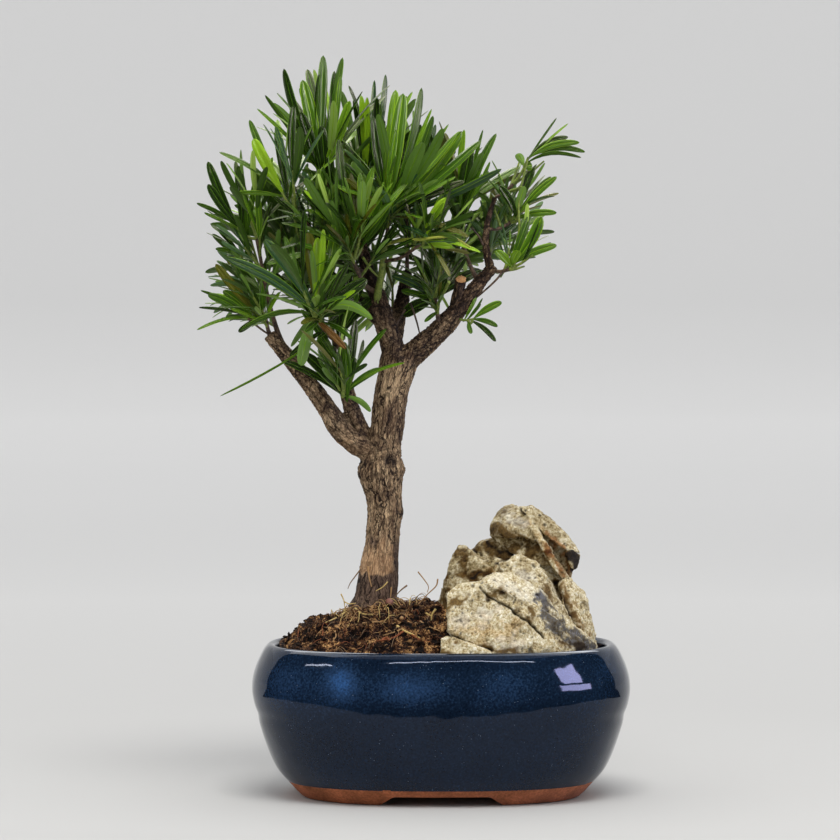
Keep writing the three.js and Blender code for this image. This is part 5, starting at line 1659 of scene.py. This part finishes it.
# Leaf skins: a waxy top whose fine lengthwise veins break up its sheen, and a duller, paler underside. Each
# tone: its colours above and below, and the tone of its midrib above, which its edges also take as a painted
# highlight. The deep tone is dark old leaves and also painted shade inside the crown, and the grey blue green
# holds a painted sheen of the pale sky.
tones = {
    # The grey blue green leaves have a painted sheen of the pale sky in their colour.
    "deep": ("1c3607", "3b591c", "green"), "blue_green": ("2d4f30", "5b7e52", "fresh"),
    "mid": ("355a0c", "597d2f", "fresh"), "green": ("4c7514", "719740", "bright"),
    "fresh": ("658f18", "8eb04c", "bright"), "bright": ("90bb20", "a9c95c", "bright"),
    "olive": ("565912", "74763a", "olive"), "brown": ("6f4a20", "835f38", "brown"),
}
tone_names = list(tones)
leaf_looks = []
for name, colours in tones.items():
    for part, colour, matt, gloss in zip(("top", "under"), colours, (0.27, 0.44), (0.85, 0.5)):
        look, tree, shader = finish(
            f"{name}_leaf_{part}", Base_Color=linear(colour), Roughness=matt, Specular_IOR_Level=gloss,
            Specular_Tint=linear("f6f5c4"),
        )
        blade = add(tree, "UVMap", uv_map="blade")
        stretched = add(tree, "Mapping", {"Vector": blade, "Scale": (9, 1.1, 1)})
        veins = add(tree, "TexNoise", {"Vector": stretched, "Scale": 1.0, "Detail": 2.0})
        feed(shader, {"Normal": add(tree, "Bump", {"Strength": 1.0, "Distance": 1.0 * MM, "Height": veins})})
        leaf_looks.append(look)


def leaf_outline(share):
    """Half width of a leaf at a share of its length: a narrow foot, widest past the middle, a blunt tip."""
    if share < LEAF_WIDEST:
        return LEAF_FOOT + (1 - LEAF_FOOT) * math.sin(math.pi / 2 * share / LEAF_WIDEST) ** 1.15
    return (1 - ((share - LEAF_WIDEST) / (1 - LEAF_WIDEST)) ** 3.3) ** 0.52


leaf_half = [leaf_outline(share) for share in leaf_shares]


def leaf_spine(root, direction, face, length, bend, share):
    """A point of a leaf's middle line, which bends back and sags a little towards the tip."""
    point = root + direction * (length * share) - face * (length * bend * share * share * 0.5)
    point.z -= LEAF_SAG * length * share * share
    return point


class Foliage:
    """Leaves gathered into one mesh."""

    def __init__(self):
        self.corners, self.faces, self.slots, self.blades = [], [], [], []

    def add_leaf(self, root, direction, face, length, bend, wide, tone, bow, twist):
        """Adds a closed leaf with its groove, its keel below and a half width in mm."""
        first = len(self.corners)
        across = direction.cross(face).normalized()
        ring = len(leaf_section)
        slots = {"top": 2 * tone_names.index(tone), "under": 2 * tone_names.index(tone) + 1}
        slots["rib_and_edge_highlight"] = 2 * tone_names.index(tones[tone][2])
        for share, half in zip(leaf_shares, leaf_half):
            middle = leaf_spine(root, direction, face, length, bend, share)
            middle += across * (bow * length * math.sin(math.pi * share))
            ahead = (direction - face * (bend * share)).normalized()
            sideways = Quaternion(ahead, twist * share) @ across
            top = sideways.cross(ahead)
            for place, height in leaf_section:
                rise = -LEAF_THICKNESS * (1 - 0.6 * share) if height is None else height * wide * half
                self.corners.append(CENTRE + (middle + sideways * (place * wide * half) + top * rise) * MM)
        self.corners.append(CENTRE + leaf_spine(root, direction, face, length, bend, 1.0) * MM)
        for step, (low, high) in enumerate(zip(leaf_shares, leaf_shares[1:])):
            for strip in range(ring):
                a = first + step * ring + strip
                b = first + step * ring + (strip + 1) % ring
                self.faces.append((a, b, b + ring, a + ring))
                self.slots.append(slots[leaf_parts[strip]])
                left, right = strip / ring, (strip + 1) / ring
                self.blades += [(left, low), (right, low), (right, high), (left, high)]
        last = first + (len(leaf_shares) - 1) * ring
        for strip in range(ring):
            self.faces.append((last + strip, last + (strip + 1) % ring, last + ring))
            self.slots.append(slots[leaf_parts[strip]])
            self.blades += [(strip / ring, leaf_shares[-1]), ((strip + 1) / ring, leaf_shares[-1]), (0.5, 1)]
        self.faces.append([first + strip for strip in reversed(range(ring))])
        self.slots.append(slots["under"])
        self.blades += [(0.5, 0)] * ring

    def finish(self, name, nodes):
        piece = new_piece(name, self.corners, self.faces, leaf_looks, self.slots)
        layer = piece.data.uv_layers.new(name="blade")
        layer.data.foreach_set("uv", np.array(self.blades).ravel())
        only(piece)
        bpy.ops.object.shade_smooth_by_angle(angle=math.radians(35))
        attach(piece, "root")
        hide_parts(*nodes)


def tone_for(share, spray, draw):
    """Young leaves at a shoot's tip are brighter. The rest take the tone of their shoot, or one near it."""
    base = ("deep", "blue_green", "mid", "mid", "green", "mid", "fresh")[int(spray * 7)]
    if share > 0.8 and draw < 0.35:
        return "bright" if spray > 0.7 else "fresh" if spray > 0.4 else "green"
    if draw < 0.3:
        return "deep"
    return "olive" if draw > 0.95 else base


# The crown's edge as the camera sees it, clockwise in mm across and up, and the gaps where sky or wood shows:
# across, up, half width and half height. No leaf of the rule reaches over the edge or crosses a gap.
crown_edge = (
    (-125, 290), (-125, 311), (-124, 334), (-106, 350), (-97, 364), (-85, 380), (-64, 386), (-50, 386),
    (-28, 379), (-9, 371), (-1, 357), (11, 349), (30, 347), (34, 330), (44, 336), (59, 355), (76, 342),
    (64, 324), (62, 289), (42, 279), (30, 274), (15, 258), (-3, 247), (-22, 242), (-30, 237), (-36, 208),
    (-54, 209), (-65, 223), (-95, 242), (-125, 250),
)
sky_gaps = (
    (-23, 256, 5.8, 12.7), (-15, 246, 6.9, 5.8), (-36, 234, 4.2, 7.9), (-37, 214, 5.3, 6.9),
    (-84, 255, 4.2, 5.3), (-97, 284, 3.2, 7.9), (-61, 216, 4.2, 4.8), (-42, 346, 2.1, 3.2),
    (-37, 336, 2.6, 3.7), (-100, 321, 2.1, 4.8), (-99, 293, 2.1, 3.7), (-55, 334, 1.6, 2.6),
    (-5, 312, 2.1, 4.8), (4, 305, 2.1, 3.2), (18, 311, 2.1, 3.2),
)
# Limbs that stand clear in front of the leaves
SHOWN_LIMBS = ("trunk", "bough_left", "bough_right", "stub_right", "riser_right", "leader")
limb_names = list(limbs)
shown_wood = np.array([limb_names[owner] in SHOWN_LIMBS for owner in skeleton.owners])
camera_at = (CAMERA_PLACE - CENTRE) / MM


def as_seen(points):
    """Where points in mm are seen on the pot's middle plane, across and up."""
    share = camera_at.y / (camera_at.y - points[:, 1])
    across = camera_at.x + (points[:, 0] - camera_at.x) * share
    return np.stack([across, camera_at.z + (points[:, 2] - camera_at.z) * share], axis=1)


def inside_edge(spot):
    """Whether a place lies inside the crown's edge."""
    inside = False
    for (x1, z1), (x2, z2) in zip(crown_edge, crown_edge[1:] + crown_edge[:1]):
        if (z1 > spot[1]) != (z2 > spot[1]) and spot[0] < x1 + (x2 - x1) * (spot[1] - z1) / (z2 - z1):
            inside = not inside
    return inside


wood_seen = as_seen(skeleton.points[shown_wood])
wood_depth = skeleton.points[shown_wood][:, 1]
wood_radius = skeleton.radii[shown_wood]


def fits(points):
    """Whether a leaf may stay: clear of the wood, inside the crown, off the gaps and the shown limbs."""
    if skeleton.nearest(points)[1].min() < WOOD_MARGIN:
        return False
    seen = as_seen(points)
    if not inside_edge(seen[-1]) or not inside_edge(seen[-3]):
        return False
    for x, z, half_width, half_height in sky_gaps:
        if (np.hypot((seen[:, 0] - x) / half_width, (seen[:, 1] - z) / half_height) < 1).any():
            return False
    away = np.linalg.norm(seen[:, None] - wood_seen, axis=2)
    hides = (away < wood_radius + 1.2) & (points[:, 1][:, None] < wood_depth)
    return not hides.any()


SAMPLED = (0.15, 0.26, 0.37, 0.48, 0.59, 0.7, 0.8, 0.9, 1.0)
groups = {"left": Foliage(), "right": Foliage(), "back": Foliage(), "front": Foliage()}
members = {key: [] for key in groups}
for index, (name, *_, leaf) in enumerate(masses):
    key = "back" if "back" in name else "right" if masses[index][3][0] > -30 else "left"
    members[key].append("foliage_" + name)
    for number, (owner, stations, places) in enumerate(sprays):
        if owner != index:
            continue
        draw = seeded(9000 + number)
        spray = draw()
        for root, direction, face, length, bend, share in places:
            keep, tone_draw, width_draw, bow, twist = (draw() for _ in range(5))
            length *= 0.75 if share > 0.85 else 1
            points = np.array([leaf_spine(root, direction, face, length, bend, part) for part in SAMPLED])
            if keep > thinned.get(name, 1) or not fits(points):
                continue
            wide = LEAF_SHAPE * length / 2 * mix(0.75, 1.1, width_draw)
            tone = tone_for(share, spray, tone_draw)
            bow, twist = 0.06 * (bow - 0.5), 1.2 * (twist - 0.5)
            groups[key].add_leaf(root, direction, face, length, bend, wide, tone, bow, twist)

# Leaves of the rosettes: each is turned about its length until it shows its seen width. Their piece stands
# in for one mass of the left.
members["front"].append(members["left"].pop())
for number, (mass, foot, leaves) in enumerate(rosettes):
    draw = seeded(7000 + number)
    axis = (Vector(foot) - hearts[mass]).normalized()
    for order, (x, z, nearer, seen_width, tone, bow) in enumerate(leaves):
        root = Vector(foot) - axis * (7 * order / len(leaves))
        tip = (at_depth(x, z, foot[1] - nearer) - CENTRE) / MM
        length = (tip - root).length
        direction = (tip - root).normalized()
        shown = abs(seen_width)
        wide = max(LEAF_SHAPE * length * 0.85, shown) if shown > SLIVER else shown * 1.2
        turn = math.acos(min(1.0, shown / wide)) * (1 if draw() > 0.5 else -1)
        towards = camera_at - root
        face = (towards - direction * towards.dot(direction)).normalized()
        face = Quaternion(direction, turn + (math.pi if seen_width < 0 else 0)) @ face
        bend = mix(0.05, 0.2, draw())
        lifted = tip + face * (length * bend * 0.5) + Vector((0, 0, LEAF_SAG * length))
        bow *= 1 if seen_width > 0 else -1
        direction, length = (lifted - root).normalized(), (lifted - root).length
        twist = 0.3 * (draw() - 0.5)
        groups["front"].add_leaf(root, direction, face, length, bend, wide / 2, tone, bow, twist)
for key, foliage in groups.items():
    foliage.finish("leaves_" + key, members[key])

low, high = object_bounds()
